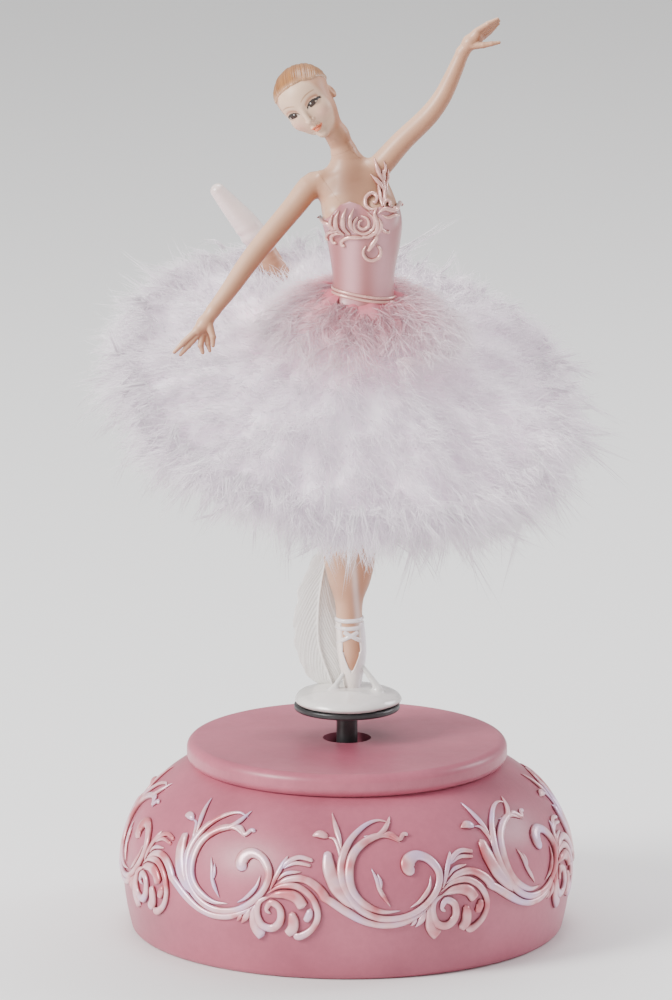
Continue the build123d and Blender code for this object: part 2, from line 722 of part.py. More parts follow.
# comb: eighteen steel teeth on a thicker heel
with BuildPart() as comb:
    with BuildSketch(Plane.XY.offset(COMB_Z)):
        with Locations((comb_centre_x, comb_heel_mid)):
            Rectangle(CYLINDER_LENGTH, COMB_HEEL_Y - COMB_ROOT_Y)
    extrude(amount=COMB_HEEL)
    with BuildSketch(Plane.XY.offset(COMB_Z)):
        with Locations((comb_centre_x, (COMB_TIP_Y + COMB_ROOT_Y) / 2)):
            with GridLocations(note_pitch, 0, NOTES, 1):
                Rectangle(COMB_TOOTH, COMB_ROOT_Y - COMB_TIP_Y)
    extrude(amount=COMB_STEEL)
    with BuildSketch(Plane.XY.offset(COMB_Z)):
        with Locations(*[(x, comb_heel_mid) for x in COMB_SCREWS_X]):
            Circle(SMALL_SCREW_R)
    extrude(amount=COMB_HEEL, mode=Mode.SUBTRACT)
comb.part.label = "comb"
export_step(comb.part, "parts/comb.step")

comb_screws = screws(
    [(x, comb_heel_mid) for x in COMB_SCREWS_X],
    COMB_Z + COMB_HEEL,
    SMALL_SCREW_R,
    SMALL_SCREW_LENGTH + COMB_HEEL,
    upward=False,
)
comb_screws.part.label = "comb_screws"
export_step(comb_screws.part, "parts/comb_screws.step")

# governor frame: foot, two posts for the wheel's shaft, and a column with an arm over the worm
with BuildPart() as governor_frame:
    with BuildSketch(Plane.XY.offset(BED_TOP)):
        with Locations((GOVERNOR_COLUMN_X, GOVERNOR_FRONT)):
            Rectangle(
                GOVERNOR_RIGHT - GOVERNOR_COLUMN_X,
                GOVERNOR_BACK - GOVERNOR_FRONT,
                align=(Align.MIN, Align.MIN),
            )
        with Locations((worm_x, worm_y - WORM_CREST_R - 0.4)):
            Rectangle(
                WORM_WHEEL_WIDTH + 2.0,
                GOVERNOR_BACK - GOVERNOR_FRONT,
                align=(Align.CENTER, Align.MIN),
                mode=Mode.SUBTRACT,
            )
        with Locations(*GOVERNOR_SCREWS):
            Circle(SMALL_SCREW_R, mode=Mode.SUBTRACT)
    extrude(amount=GOVERNOR_FOOT)
    for x in GOVERNOR_POSTS_X:
        with BuildSketch(Plane.YZ.offset(x)):
            with Locations((governor_y, (BED_TOP + GOVERNOR_Z) / 2)):
                Rectangle(2 * GOVERNOR_POST_HALF, GOVERNOR_Z - BED_TOP)
            with Locations((governor_y, GOVERNOR_Z)):
                Circle(GOVERNOR_POST_HALF)
                Circle(GOVERNOR_SHAFT_R + RUNNING_FIT, mode=Mode.SUBTRACT)
        extrude(amount=GOVERNOR_POST)
    with BuildSketch(Plane.XY.offset(BED_TOP)):
        with Locations((GOVERNOR_COLUMN_X, worm_y)):
            Rectangle(GOVERNOR_COLUMN, 6.0, align=(Align.MIN, Align.CENTER))
    extrude(amount=GOVERNOR_ARM_Z + GOVERNOR_ARM - BED_TOP)
    with BuildSketch(Plane.XY.offset(GOVERNOR_ARM_Z)):
        with Locations((GOVERNOR_COLUMN_X, worm_y)):
            Rectangle(
                worm_x - GOVERNOR_COLUMN_X + 2.0,
                3.6,
                align=(Align.MIN, Align.CENTER),
            )
        with Locations((worm_x, worm_y)):
            Circle(GOVERNOR_SHAFT_R + RUNNING_FIT, mode=Mode.SUBTRACT)
    extrude(amount=GOVERNOR_ARM)
governor_frame.part.label = "governor_frame"
export_step(governor_frame.part, "parts/governor_frame.step")

governor_screws = screws(
    GOVERNOR_SCREWS, BED_TOP + GOVERNOR_FOOT, SMALL_SCREW_R, SMALL_SCREW_LENGTH, upward=False
)
governor_screws.part.label = "governor_screws"
export_step(governor_screws.part, "parts/governor_screws.step")

# governor shaft with its pinion and the wheel that drives the worm
governor_shaft_x = CYLINDER_WHEEL_X - 0.4
with BuildPart() as governor_shaft:
    with BuildSketch(Plane.YZ.offset(governor_shaft_x)):
        with Locations((governor_y, GOVERNOR_Z)):
            Circle(GOVERNOR_SHAFT_R)
    extrude(amount=GOVERNOR_POSTS_X[1] + GOVERNOR_POST + 0.3 - governor_shaft_x)
governor_shaft.part.label = "governor_shaft"
export_step(governor_shaft.part, "parts/governor_shaft.step")

governor_pinion = spur_gear(
    Plane.YZ.offset(CYLINDER_WHEEL_X).shift_origin((CYLINDER_WHEEL_X, governor_y, GOVERNOR_Z)),
    GOVERNOR_MODULE,
    GOVERNOR_PINION_TEETH,
    WHEEL_WIDTH,
    GOVERNOR_SHAFT_R,
    first_tooth=mesh_angle + 180 / GOVERNOR_PINION_TEETH,
)
governor_pinion.part.label = "governor_pinion"
export_step(governor_pinion.part, "parts/governor_pinion.step")

worm_wheel = spur_gear(
    Plane.YZ.offset(WORM_WHEEL_X).shift_origin((WORM_WHEEL_X, governor_y, GOVERNOR_Z)),
    GOVERNOR_MODULE,
    WORM_WHEEL_TEETH,
    WORM_WHEEL_WIDTH,
    GOVERNOR_SHAFT_R,
    first_tooth=180,
)
worm_wheel.part.label = "worm_wheel"
export_step(worm_wheel.part, "parts/worm_wheel.step")

# worm: upright shaft with a single right-hand thread; the wheel's tooth lies between its turns
worm_start = GOVERNOR_Z + worm_pitch * (0.25 - WORM_TURNS / 2)
thread_root = GOVERNOR_SHAFT_R - 0.15
with BuildPart() as worm_thread:
    with BuildLine():
        worm_helix = Helix(
            worm_pitch, worm_pitch * WORM_TURNS, thread_root, center=(worm_x, worm_y, worm_start)
        )
    with BuildSketch(Plane(origin=worm_helix @ 0, x_dir=(1, 0, 0), z_dir=(0, 1, 0))):
        Polygon(
            (0, -0.34),
            (WORM_CREST_R - thread_root, -0.1),
            (WORM_CREST_R - thread_root, 0.1),
            (0, 0.34),
            align=None,
        )
    sweep(is_frenet=True)
with BuildPart() as worm_shaft:
    with BuildSketch(Plane.XY.offset(BED_Z + 0.6)):
        with Locations((worm_x, worm_y)):
            Circle(GOVERNOR_SHAFT_R)
    extrude(amount=GOVERNOR_ARM_Z + GOVERNOR_ARM - BED_Z - 0.6)
    add(worm_thread.part)
worm_shaft.part.label = "worm_shaft"
export_step(worm_shaft.part, "parts/worm_shaft.step")

# fly: two light vanes that brake the train
with BuildPart() as fly:
    with BuildSketch(Plane.XY.offset(FLY_Z)):
        with Locations((worm_x, worm_y)):
            Circle(GOVERNOR_SHAFT_R + 0.6)
            Rectangle(2 * FLY_R, FLY_BLADE)
            Circle(GOVERNOR_SHAFT_R, mode=Mode.SUBTRACT)
    extrude(amount=FLY_HEIGHT)
fly.part.label = "fly"
export_step(fly.part, "parts/fly.step")

# ---- turntable -------------------------------------------------------------------------------

# turntable: black spindle and disc in one moulding, bored for the barrel's stud
with BuildPart() as turntable:
    with BuildSketch(Plane.XY.offset(BARREL_TOP)):
        Circle(SPINDLE_R)
    extrude(amount=DISC_Z - BARREL_TOP)
    with BuildSketch(Plane.XY.offset(BARREL_TOP)):
        Circle(SPINDLE_COLLAR_R)
    extrude(amount=SPINDLE_COLLAR_TOP - BARREL_TOP)
    with BuildSketch(Plane.XY.offset(DISC_Z)):
        Circle(DISC_R)
    extrude(amount=DISC_THICKNESS)
    fillet(turntable.edges().filter_by(GeomType.CIRCLE).sort_by(SortBy.RADIUS)[-2:], 0.5)
    with BuildSketch(Plane.XY.offset(BARREL_TOP)):
        Circle(STUD_R)
    extrude(amount=STUD_TOP - BARREL_TOP, mode=Mode.SUBTRACT)
turntable.part.label = "turntable"
export_step(turntable.part, "parts/turntable.step")

# ---- figure ----------------------------------------------------------------------------------

# plinth: low rounded casting glued to the disc
with BuildPart() as plinth:
    with BuildSketch(Plane.XZ):
        with BuildLine():
            Polyline((0, PLINTH_TOP), (0, DISC_TOP), (PLINTH_R - 0.6, DISC_TOP))
            Spline(
                (PLINTH_R - 0.6, DISC_TOP),
                (PLINTH_R, DISC_TOP + 1.4),
                (PLINTH_R - 2.4, DISC_TOP + 3.0),
                (5.0, PLINTH_TOP - 0.2),
                (0, PLINTH_TOP),
            )
        make_face()
    revolve(axis=Axis.Z)
plinth.part.label = "plinth"
export_step(plinth.part, "parts/plinth.step")

# standing shoe: pointe shoe on its toe, sunk a little into the plinth
standing_shoe_stations = [
    (1.2, 0, 59.2, 2.0, 2.0),
    (1.3, -0.3, 63.0, 2.6, 2.7),
    (1.2, -0.5, 68.0, 3.3, 3.6),
    (0.9, 0, SHOE_TOP, 3.5, 3.8),
]
standing_shoe_full = limb(standing_shoe_stations)
with BuildPart() as standing_shoe:
    add(standing_shoe_full.part)
    add(plinth.part, mode=Mode.SUBTRACT)
standing_shoe.part.label = "standing_shoe"
export_step(standing_shoe.part, "parts/standing_shoe.step")

# standing leg, from the shoe up into the hip
standing_leg_stations = [
    (0.9, 0, SHOE_TOP, 3.4, 3.7),
    (0.4, 0.2, 82.0, 4.3, 4.4),
    (0.3, 0.6, 92.0, 6.0, 5.8),
    (0.6, -0.2, 107.0, 4.9, 5.2),
    (1.6, -0.2, 126.0, 6.6, 6.8),
    (2.4, 0, 141.0, 7.4, 7.4),
]
standing_leg_full = limb(standing_leg_stations)
with BuildPart() as standing_leg:
    add(standing_leg_full.part)
    add(standing_shoe_full.part, mode=Mode.SUBTRACT)
standing_leg.part.label = "standing_leg"
export_step(standing_leg.part, "parts/standing_leg.step")

# torso: strapless bodice from the hips to the base of the neck
torso_stations = [
    (2.4, 0, 141.0, 8.2, 7.6),
    (3.0, 0.2, 149.0, 8.6, 7.4),
    (3.9, 0, 159.0, 7.2, 5.8),
    (3.8, -0.6, 169.0, 8.7, 7.0),
    (3.2, -1.0, 178.0, 10.2, 8.0),
    (1.6, 0, 186.0, 9.6, 5.8),
    (-0.4, 0.6, 191.5, 4.6, 3.6),
    (-1.2, 0.6, 193.5, 2.6, 2.6),
]
torso_full = limb(torso_stations)
with BuildPart() as torso:
    add(torso_full.part)
    add(standing_leg_full.part, mode=Mode.SUBTRACT)
torso.part.label = "torso"
export_step(torso.part, "parts/torso.step")

# raised leg: back from the hip, bent at the knee, with its shoe above the skirt
raised_leg_stations = [
    (-0.5, 5.0, 146.0, 6.6, 6.6),
    (-4.0, 18.0, 143.5, 6.4, 6.4),
    (-9.5, 32.0, 141.0, 5.2, 5.2),
    (-13.5, 38.0, 144.0, 4.8, 4.8),
    (-16.5, 38.5, 152.0, 4.9, 4.9),
    (-20.8, 37.0, 163.2, 3.2, 3.2),
]
raised_leg_full = limb(raised_leg_stations)
with BuildPart() as raised_leg:
    add(raised_leg_full.part)
    add(torso.part, mode=Mode.SUBTRACT)
    add(standing_leg.part, mode=Mode.SUBTRACT)
raised_leg.part.label = "raised_leg"
export_step(raised_leg.part, "parts/raised_leg.step")

raised_shoe_stations = [
    (-20.8, 37.0, 163.2, 3.3, 3.3),
    (-24.2, 37.3, 167.5, 3.4, 3.3),
    (-28.6, 37.7, 172.7, 2.8, 2.6),
    (-32.2, 38.0, 177.0, 1.8, 1.8),
]
raised_shoe_full = limb(raised_shoe_stations)
with BuildPart() as raised_shoe:
    add(raised_shoe_full.part)
    add(raised_leg_full.part, mode=Mode.SUBTRACT)
raised_shoe.part.label = "raised_shoe"
export_step(raised_shoe.part, "parts/raised_shoe.step")

# plume support: a curled feather rising from the plinth to the calf
plume_full = limb([
    (-8.0, 4.6, 59.4, 3.2, 1.4),
    (-12.0, 4.6, 67.0, 4.0, 1.5),
    (-12.6, 4.4, 77.0, 4.2, 1.5),
    (-9.0, 3.6, 88.0, 3.6, 1.5),
    (-4.6, 2.4, 98.0, 2.0, 1.3),
])
with BuildPart() as plume_support:
    add(plume_full.part)
    add(plinth.part, mode=Mode.SUBTRACT)
    add(standing_leg.part, mode=Mode.SUBTRACT)
plume_support.part.label = "plume_support"
export_step(plume_support.part, "parts/plume_support.step")

# neck and head: tilted to the dancer's right
def head_ball(grow):
    """An egg about the head's centre, standing along the tilted head."""
    with BuildPart() as ball:
        with BuildSketch(head_plane):
            with BuildLine():
                EllipticalCenterArc(
                    (0, 0),
                    HEAD_HALF_WIDTH + grow,
                    HEAD_HALF_HEIGHT + grow,
                    start_angle=-90,
                    arc_size=180,
                )
                Line((0, -HEAD_HALF_HEIGHT - grow), (0, HEAD_HALF_HEIGHT + grow))
            make_face()
        revolve(axis=Axis(HEAD_CENTRE, head_up))
    return ball


neck = limb([
    (-1.2, 0.6, 192.6, 2.6, 2.6),
    (-3.2, 0.4, 196.5, 2.4, 2.4),
    (-6.6, -0.2, 202.0, 2.5, 2.5),
])
skull = head_ball(0)
with BuildPart() as head:
    add(neck.part)
    add(skull.part)
    add(torso.part, mode=Mode.SUBTRACT)
head.part.label = "head"
export_step(head.part, "parts/head.step")

# hair: a close cap over the crown and back of the head, drawn into a bun
cap = head_ball(HAIR_THICKNESS)
bun_centre = Vector(*HEAD_CENTRE) + head_up * BUN_RISE + Vector(0, BUN_BACK, 0)
hairline = Plane(
    origin=Vector(*HEAD_CENTRE) + head_up * HAIRLINE_RISE,
    z_dir=head_up + Vector(0, HAIRLINE_LEAN, 0),
)
with BuildPart() as hair:
    add(cap.part)
    split(bisect_by=hairline, keep=Keep.TOP)
    with Locations(bun_centre):
        Sphere(BUN_R)
    add(skull.part, mode=Mode.SUBTRACT)
hair.part.label = "hair"
export_step(hair.part, "parts/hair.step")

# arms: each with a slim wrist and a flat hand
left_arm_full = limb([
    (5.6, 0.4, 187.6, 3.0, 3.2),
    (9.4, 0.4, 192.4, 2.9, 3.0),
    (20.3, 0.4, 203.2, 2.2, 2.2),
    (25.0, 0, 211.5, 2.2, 2.2),
    (29.2, 0, 219.0, 1.4, 1.5),
    (33.4, 0, 224.0, 2.0, 0.9),
    (38.0, 0, 226.6, 0.8, 0.6),
])
with BuildPart() as left_arm:
    add(left_arm_full.part)
    add(torso.part, mode=Mode.SUBTRACT)
left_arm.part.label = "left_arm"
export_step(left_arm.part, "parts/left_arm.step")

right_arm_full = limb([
    (-6.2, 0.4, 186.0, 3.0, 3.2),
    (-10.4, -0.8, 185.0, 2.9, 3.0),
    (-21.7, -6.0, 171.3, 2.2, 2.3),
    (-27.0, -9.4, 164.4, 2.1, 2.2),
    (-32.2, -12.2, 157.4, 1.4, 1.5),
    (-37.0, -14.0, 151.0, 2.0, 0.9),
    (-41.8, -15.0, 147.2, 0.8, 0.6),
])
with BuildPart() as right_arm:
    add(right_arm_full.part)
    add(torso.part, mode=Mode.SUBTRACT)
right_arm.part.label = "right_arm"
export_step(right_arm.part, "parts/right_arm.step")

# bodice trim: a raised scroll over the bust, from the left shoulder to the waist side
trim_skin = limb(torso_stations, TRIM_RISE)
trim_arcs = [
    (CenterArc((1.6, 175.5), 3.4, 150, 250), 1.6),
    (CenterArc((7.6, 178.4), 2.6, -60, 280), 1.4),
    (CenterArc((6.0, 184.6), 4.2, -60, 150), 1.5),
    (CenterArc((6.8, 169.0), 3.2, 60, 190), 1.3),
]
with BuildPart() as bodice_trim:
    with BuildSketch(Plane.XZ.offset(2.0)):
        for arc, width in trim_arcs:
            SlotArc(arc, width)
        with Locations((-3.6, 174.0)):
            Ellipse(2.6, 1.0, rotation=20)
    extrude(amount=12.0)
    add(trim_skin.part, mode=Mode.INTERSECT)
    add(torso.part, mode=Mode.SUBTRACT)
bodice_trim.part.label = "bodice_trim"
export_step(bodice_trim.part, "parts/bodice_trim.step")


def skirt_plane(rise):
    """The rim's plane, moved along its normal."""
    return Plane(
        origin=Vector(*SKIRT_CENTRE) + skirt_normal * rise, x_dir=skirt_across, z_dir=skirt_normal
    )


# the skirt's full outer shape, through round sections from the waist to below the rim
with BuildPart() as skirt_body:
    with BuildSketch(Plane(origin=SKIRT_WAIST, x_dir=(1, 0, 0), z_dir=waist_normal)):
        Circle(SKIRT_WAIST_R)
    for rise, share in SKIRT_SECTIONS:
        with BuildSketch(skirt_plane(rise)):
            Circle(SKIRT_R * share)
    loft()

# skirt: that shape with a hollow below, clear of the legs and the torso
with BuildPart() as feather_skirt:
    add(skirt_body.part)
    with Locations(skirt_plane(-SKIRT_HALF)):
        Cone(
            SKIRT_HOLLOW_R,
            SKIRT_HOLLOW_TOP_R,
            SKIRT_HOLLOW_HEIGHT,
            align=(Align.CENTER, Align.CENTER, Align.MIN),
            mode=Mode.SUBTRACT,
        )
    add(limb(standing_leg_stations, CLOTH_GAP).part, mode=Mode.SUBTRACT)
    add(limb(torso_stations, CLOTH_GAP).part, mode=Mode.SUBTRACT)
    add(limb(raised_leg_stations, CLOTH_GAP).part, mode=Mode.SUBTRACT)
    add(limb(raised_shoe_stations, CLOTH_GAP).part, mode=Mode.SUBTRACT)
feather_skirt.part.label = "feather_skirt"
export_step(feather_skirt.part, "parts/feather_skirt.step")

# waist petals: short frill of pink petals that lies on the skirt round the waist
with BuildPart() as waist_petals:
    with BuildSketch(Plane(origin=PETALS_TOP, x_dir=(1, 0, 0), z_dir=waist_normal)):
        Circle(PETALS_TOP_R)
    with BuildSketch(Plane(origin=PETALS_EDGE, x_dir=(1, 0, 0), z_dir=waist_normal)):
        Circle(PETALS_EDGE_R)
    loft()
    add(skirt_body.part, mode=Mode.SUBTRACT)
    add(limb(torso_stations, CLOTH_GAP).part, mode=Mode.SUBTRACT)
waist_petals.part.label = "waist_petals"
export_step(waist_petals.part, "parts/waist_petals.step")
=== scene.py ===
"""Ballerina music box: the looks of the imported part, worked out in millimetres and stored in metres."""

import itertools
import json
import math

import bpy
import numpy as np
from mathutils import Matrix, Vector


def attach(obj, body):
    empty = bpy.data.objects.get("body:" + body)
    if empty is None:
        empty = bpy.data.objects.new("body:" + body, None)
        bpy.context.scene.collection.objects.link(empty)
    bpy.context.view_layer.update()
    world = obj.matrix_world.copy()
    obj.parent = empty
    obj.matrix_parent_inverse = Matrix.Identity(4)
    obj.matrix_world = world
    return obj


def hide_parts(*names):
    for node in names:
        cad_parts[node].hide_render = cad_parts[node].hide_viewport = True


MM = 0.001
SEED = 7
LIMB_SPACING = 1.6

# The camera looks along +Y from a little above.
CAMERA_TARGET = (-2.7, 0.0, 107.3)
CAMERA_ELEVATION = 12.5
CAMERA_DISTANCE = 2500.0
VIEW_HEIGHT = 244.7
SENSOR = 36.0

# The dome of the base: a foot, a widest ring, and a shoulder arc.
DOME_WIDEST_Z = 15.9
DOME_FOOT_R = 52.8
DOME_WIDEST_R = 55.2
SHOULDER_R = 28.0
SHOULDER_CENTRE_R = 27.2

# The relief on the dome.
MOTIF_COUNT = 8
MOTIF_FIRST_ANGLE = -76.0
RELIEF_RISE = 1.0
RELIEF_WIDTH = 1.2
RELIEF_SINK = 0.5
RELIEF_FLATNESS = 0.7

# The dancer's head: its centre, tilt and turn.
HEAD_CENTRE = (-9.9, -0.6, 206.9)
HEAD_ROLL = -37.0
HEAD_TURN = -14.0
HEAD_NOD = 9.0

# The feather skirt is a tilted disc about the hips.
SKIRT_CENTRE = (-0.4, -1.0, 136.0)
SKIRT_R = 57.0
SKIRT_TILT = 25.0
SKIRT_ROLL = 9.0
WAIST_CENTRE = (3.6, -0.4, 157.0)

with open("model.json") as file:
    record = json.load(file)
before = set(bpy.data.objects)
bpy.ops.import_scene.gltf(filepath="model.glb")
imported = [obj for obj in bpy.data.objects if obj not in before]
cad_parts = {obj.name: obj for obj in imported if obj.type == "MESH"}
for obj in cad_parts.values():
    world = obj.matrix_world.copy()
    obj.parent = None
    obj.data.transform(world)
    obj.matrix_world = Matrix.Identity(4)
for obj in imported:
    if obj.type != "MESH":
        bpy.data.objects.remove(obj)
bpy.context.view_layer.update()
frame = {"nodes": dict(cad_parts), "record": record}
FIGURE = "figure_turntable"


# ---------------------------------------------------------------- vectors and curves


def unit(v):
    return v / np.maximum(np.linalg.norm(v, axis=-1, keepdims=True), 1e-9)


def rotation(axis, degrees):
    """Rotation matrix about one of the axes 0, 1, 2."""
    c, s = math.cos(math.radians(degrees)), math.sin(math.radians(degrees))
    i, j = [(1, 2), (2, 0), (0, 1)][axis]
    m = np.eye(3)
    m[i, i] = m[j, j] = c
    m[i, j], m[j, i] = -s, s
    return m


def smooth_curve(points, spacing):
    """Points evenly spaced along a Catmull-Rom curve through the given ones."""
    p = np.array(points, float)
    p = np.vstack([2 * p[0] - p[1], p, 2 * p[-1] - p[-2]])
    t = np.linspace(0, 1, 24, endpoint=False)[:, None]
    dense = []
    for a, b, c, d in zip(p, p[1:], p[2:], p[3:]):
        dense.append(
            0.5
            * (
                2 * b
                + (c - a) * t
                + (2 * a - 5 * b + 4 * c - d) * t**2
                + (3 * b - a - 3 * c + d) * t**3
            )
        )
    dense = np.vstack(dense + [p[-2:-1]])
    along = np.concatenate([[0], np.cumsum(np.linalg.norm(np.diff(dense, axis=0), axis=1))])
    count = max(int(along[-1] / spacing), 6)
    wanted = np.linspace(0, along[-1], count + 1)
    return np.stack([np.interp(wanted, along, dense[:, k]) for k in range(p.shape[1])], 1)


def spread(values, count):
    """A short list of values spread smoothly over count places."""
    values = np.array(values, float)
    if len(values) == 1:
        return np.full(count, values[0])
    at = np.linspace(0, len(values) - 1, count)
    low = np.minimum(at.astype(int), len(values) - 2)
    t = at - low
    t = t * t * (3 - 2 * t)
    return values[low] * (1 - t) + values[low + 1] * t


# ---------------------------------------------------------------- distance fields


def smooth_min(a, b, k):
    h = np.clip(0.5 + 0.5 * (b - a) / k, 0, 1)
    return b + (a - b) * h - k * h * (1 - h)


def smooth_max(a, b, k):
    return -smooth_min(-a, -b, k)


def cone(p, a, b, ra, rb):
    """Distance to a rounded bar from a to b whose radius goes from ra to rb."""
    a, b = np.array(a, np.float32), np.array(b, np.float32)
    ab = b - a
    h = np.clip((p - a) @ ab / (ab @ ab), 0, 1)
    return np.linalg.norm(p - a - h[:, None] * ab, axis=1) - (ra + (rb - ra) * h)


def chain(p, stations, k):
    """Bars through stations (x, y, z, radius), blended over k."""
    out = None
    for a, b in zip(stations, stations[1:]):
        d = cone(p, a[:3], b[:3], a[3], b[3])
        out = d if out is None else smooth_min(out, d, k)
    return out


def limb(p, stations, share=1.0):
    """A smooth limb through stations (x, y, z, radius), or the first share of it."""
    fine = smooth_curve(stations, LIMB_SPACING)
    fine = fine[: max(int(share * len(fine)), 2)]
    out = None
    for a, b in zip(fine, fine[1:]):
        d = cone(p, a[:3], b[:3], a[3], b[3])
        out = d if out is None else np.minimum(out, d)
    return out


def ball(p, centre, radii):
    """Approximate distance to an ellipsoid."""
    q = p - np.array(centre, np.float32)
    r = np.array(radii, np.float32)
    k0 = np.linalg.norm(q / r, axis=1)
    k1 = np.linalg.norm(q / (r * r), axis=1)
    return k0 * (k0 - 1) / np.maximum(k1, 1e-6)


def loft(p, stations, top_round=2.0):
    """A body of stacked ellipses: stations (x, y, z, half-width, half-depth), going up."""
    s = np.array(stations, float)
    fine = smooth_curve(s, 0.3)
    z = p[:, 2]
    x, y, a, b = (np.interp(z, fine[:, 2], fine[:, k]) for k in (0, 1, 3, 4))
    qx, qy = p[:, 0] - x, p[:, 1] - y
    k0 = np.sqrt((qx / a) ** 2 + (qy / b) ** 2)
    k1 = np.sqrt((qx / a**2) ** 2 + (qy / b**2) ** 2)
    side = np.where(k0 > 1e-4, k0 * (k0 - 1) / np.maximum(k1, 1e-6), -np.minimum(a, b))
    ends = np.maximum(s[0, 2] - z, z - s[-1, 2])
    return smooth_max(side, ends, top_round).astype(np.float32)


# ---------------------------------------------------------------- meshes


def gradient(field, p):
    e = 0.02
    steps = np.eye(3, dtype=np.float32) * e
    return np.stack([field(p + s) - field(p - s) for s in steps], 1) / (2 * e)


def grid_values(field, low, step, count):
    """The field on a grid, worked out only in the blocks that the surface may cross."""
    block = 8
    values = np.empty(count, np.float32)
    starts = [np.arange(0, n, block) for n in count]
    corner = np.stack(np.meshgrid(*starts, indexing="ij"), -1).reshape(-1, 3)
    middle = field((low + step * (corner + block / 2)).astype(np.float32))
    reach = block * step * 1.5
    for c, m in zip(corner, middle):
        if abs(m) > reach:
            values[tuple(slice(i, i + block) for i in c)] = m
    near = corner[np.abs(middle) <= reach]
    inner = np.stack(np.meshgrid(*[np.arange(block)] * 3, indexing="ij"), -1).reshape(-1, 3)
    for part in np.array_split(near, max(len(near) // 2000, 1)):
        cells = (part[:, None] + inner[None]).reshape(-1, 3)
        cells = cells[(cells < count).all(1)]
        values[tuple(cells.T)] = field((low + step * cells).astype(np.float32))
    return values


def surface(field, low, high, step):
    """Points and quads of the closed surface where the field is zero, by surface nets, then moved onto it."""
    low = np.array(low, float)
    count = np.ceil((np.array(high, float) - low) / step).astype(int) + 1
    values = grid_values(field, low, step, count)
    inside = values < 0
    offsets = np.array(list(itertools.product((0, 1), repeat=3)))
    full = sum(
        inside[tuple(slice(o, n - 1 + o) for o, n in zip(off, count))].astype(np.int8)
        for off in offsets
    )
    active = (full > 0) & (full < 8)
    cells = np.argwhere(active)
    index = np.full(active.shape, -1, np.int64)
    index[active] = np.arange(len(cells))
    corners = np.stack([values[tuple((cells + off).T)] for off in offsets], 1)
    total, hits = np.zeros((len(cells), 3)), np.zeros(len(cells))
    for a, b in itertools.combinations(range(8), 2):
        if np.abs(offsets[a] - offsets[b]).sum() != 1:
            continue
        crossed = (corners[:, a] < 0) != (corners[:, b] < 0)
        t = np.where(crossed, corners[:, a] / np.where(crossed, corners[:, a] - corners[:, b], 1), 0)
        total += crossed[:, None] * (offsets[a] + (offsets[b] - offsets[a]) * t[:, None])
        hits += crossed
    points = (low + step * (cells + total / hits[:, None])).astype(np.float32)
    quads = []
    for axis in range(3):
        u, v = (axis + 1) % 3, (axis + 2) % 3
        eu, ev = np.eye(3, dtype=int)[u], np.eye(3, dtype=int)[v]
        front = np.take(inside, range(count[axis] - 1), axis)
        back = np.take(inside, range(1, count[axis]), axis)
        g = np.argwhere(front != back)
        g = g[(g[:, u] > 0) & (g[:, v] > 0) & (g[:, u] < count[u] - 1) & (g[:, v] < count[v] - 1)]
        quad = np.stack([index[tuple(q.T)] for q in (g - eu - ev, g - ev, g, g - eu)], 1)
        outward = front[tuple(g.T)]
        quads.append(np.where(outward[:, None], quad, quad[:, ::-1]))
    for _ in range(2):
        value, slope = field(points), gradient(field, points)
        move = value[:, None] * slope / np.maximum((slope * slope).sum(1, keepdims=True), 0.05)
        points = points - np.clip(move, -0.5 * step, 0.5 * step)
    return points, np.vstack(quads)


def new_piece(name, points, faces, body, material, colours=None, replaces=()):
    """A mesh object from points in millimetres, in place, riding on its body."""
    mesh = bpy.data.meshes.new(name)
    mesh.from_pydata(np.asarray(points, float) * MM, [], faces)
    mesh.shade_smooth()
    if colours is not None:
        layer = mesh.color_attributes.new("paint", "FLOAT_COLOR", "POINT")
        rgba = np.ones((len(points), 4), np.float32)
        rgba[:, :3] = colours
        layer.data.foreach_set("color", rgba.ravel())
    mesh.materials.append(material)
    piece = bpy.data.objects.new(name, mesh)
    bpy.context.scene.collection.objects.link(piece)
    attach(piece, body)
    if replaces:
        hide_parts(*replaces)
    return piece


def joined(parts):
    """Several (points, faces) or (points, faces, colours) as one; all faces have as many corners."""
    offsets = np.cumsum([0] + [len(part[0]) for part in parts[:-1]])
    points = np.vstack([part[0] for part in parts])
    faces = np.vstack([part[1] + o for part, o in zip(parts, offsets)])
    if len(parts[0]) == 2:
        return points, faces
    return points, faces, np.vstack([part[2] for part in parts])


SECTION_SIDES = 14


def moulding(centres, ups, widths, rises, sinks, flatness=1.0):
    """A closed raised stroke along centres, sunk below its ground.

    Gives points, quads, and a colour of each point that says its share of the rise. A flatness of 1 is
    half-round; less than 1 has a broader top.
    """
    count = len(centres)
    tangent = unit(np.gradient(centres, axis=0))
    side = unit(np.cross(tangent, ups))
    turn = np.linspace(0, 2 * math.pi, SECTION_SIDES, endpoint=False)
    across, rise = np.cos(turn), np.sin(turn)
    rise = np.sign(rise) * np.abs(rise) ** flatness
    height = np.where(rise > 0, rise * rises[:, None], rise * sinks[:, None])
    points = (
        centres[:, None]
        + side[:, None] * (across * widths[:, None])[:, :, None]
        + ups[:, None] * height[:, :, None]
    ).reshape(-1, 3)
    ring = np.arange(SECTION_SIDES)
    nxt = (ring + 1) % SECTION_SIDES
    rows = np.arange(count - 1)[:, None] * SECTION_SIDES
    quads = np.stack([rows + ring, rows + nxt, rows + SECTION_SIDES + nxt, rows + SECTION_SIDES + ring], -1)
    quads = quads.reshape(-1, 4)
    last = (count - 1) * SECTION_SIDES
    caps = []
    for base, flip in ((0, True), (last, False)):
        for k in range(SECTION_SIDES // 2 - 1):
            cap = [base + k, base + k + 1, base + SECTION_SIDES - 2 - k, base + SECTION_SIDES - 1 - k]
            caps.append(cap[::-1] if flip else cap)
    quads = np.vstack([quads, np.array(caps)])
    crest = np.tile(np.clip(rise, 0, 1), count)
    return points, quads, np.repeat(crest[:, None], 3, 1)


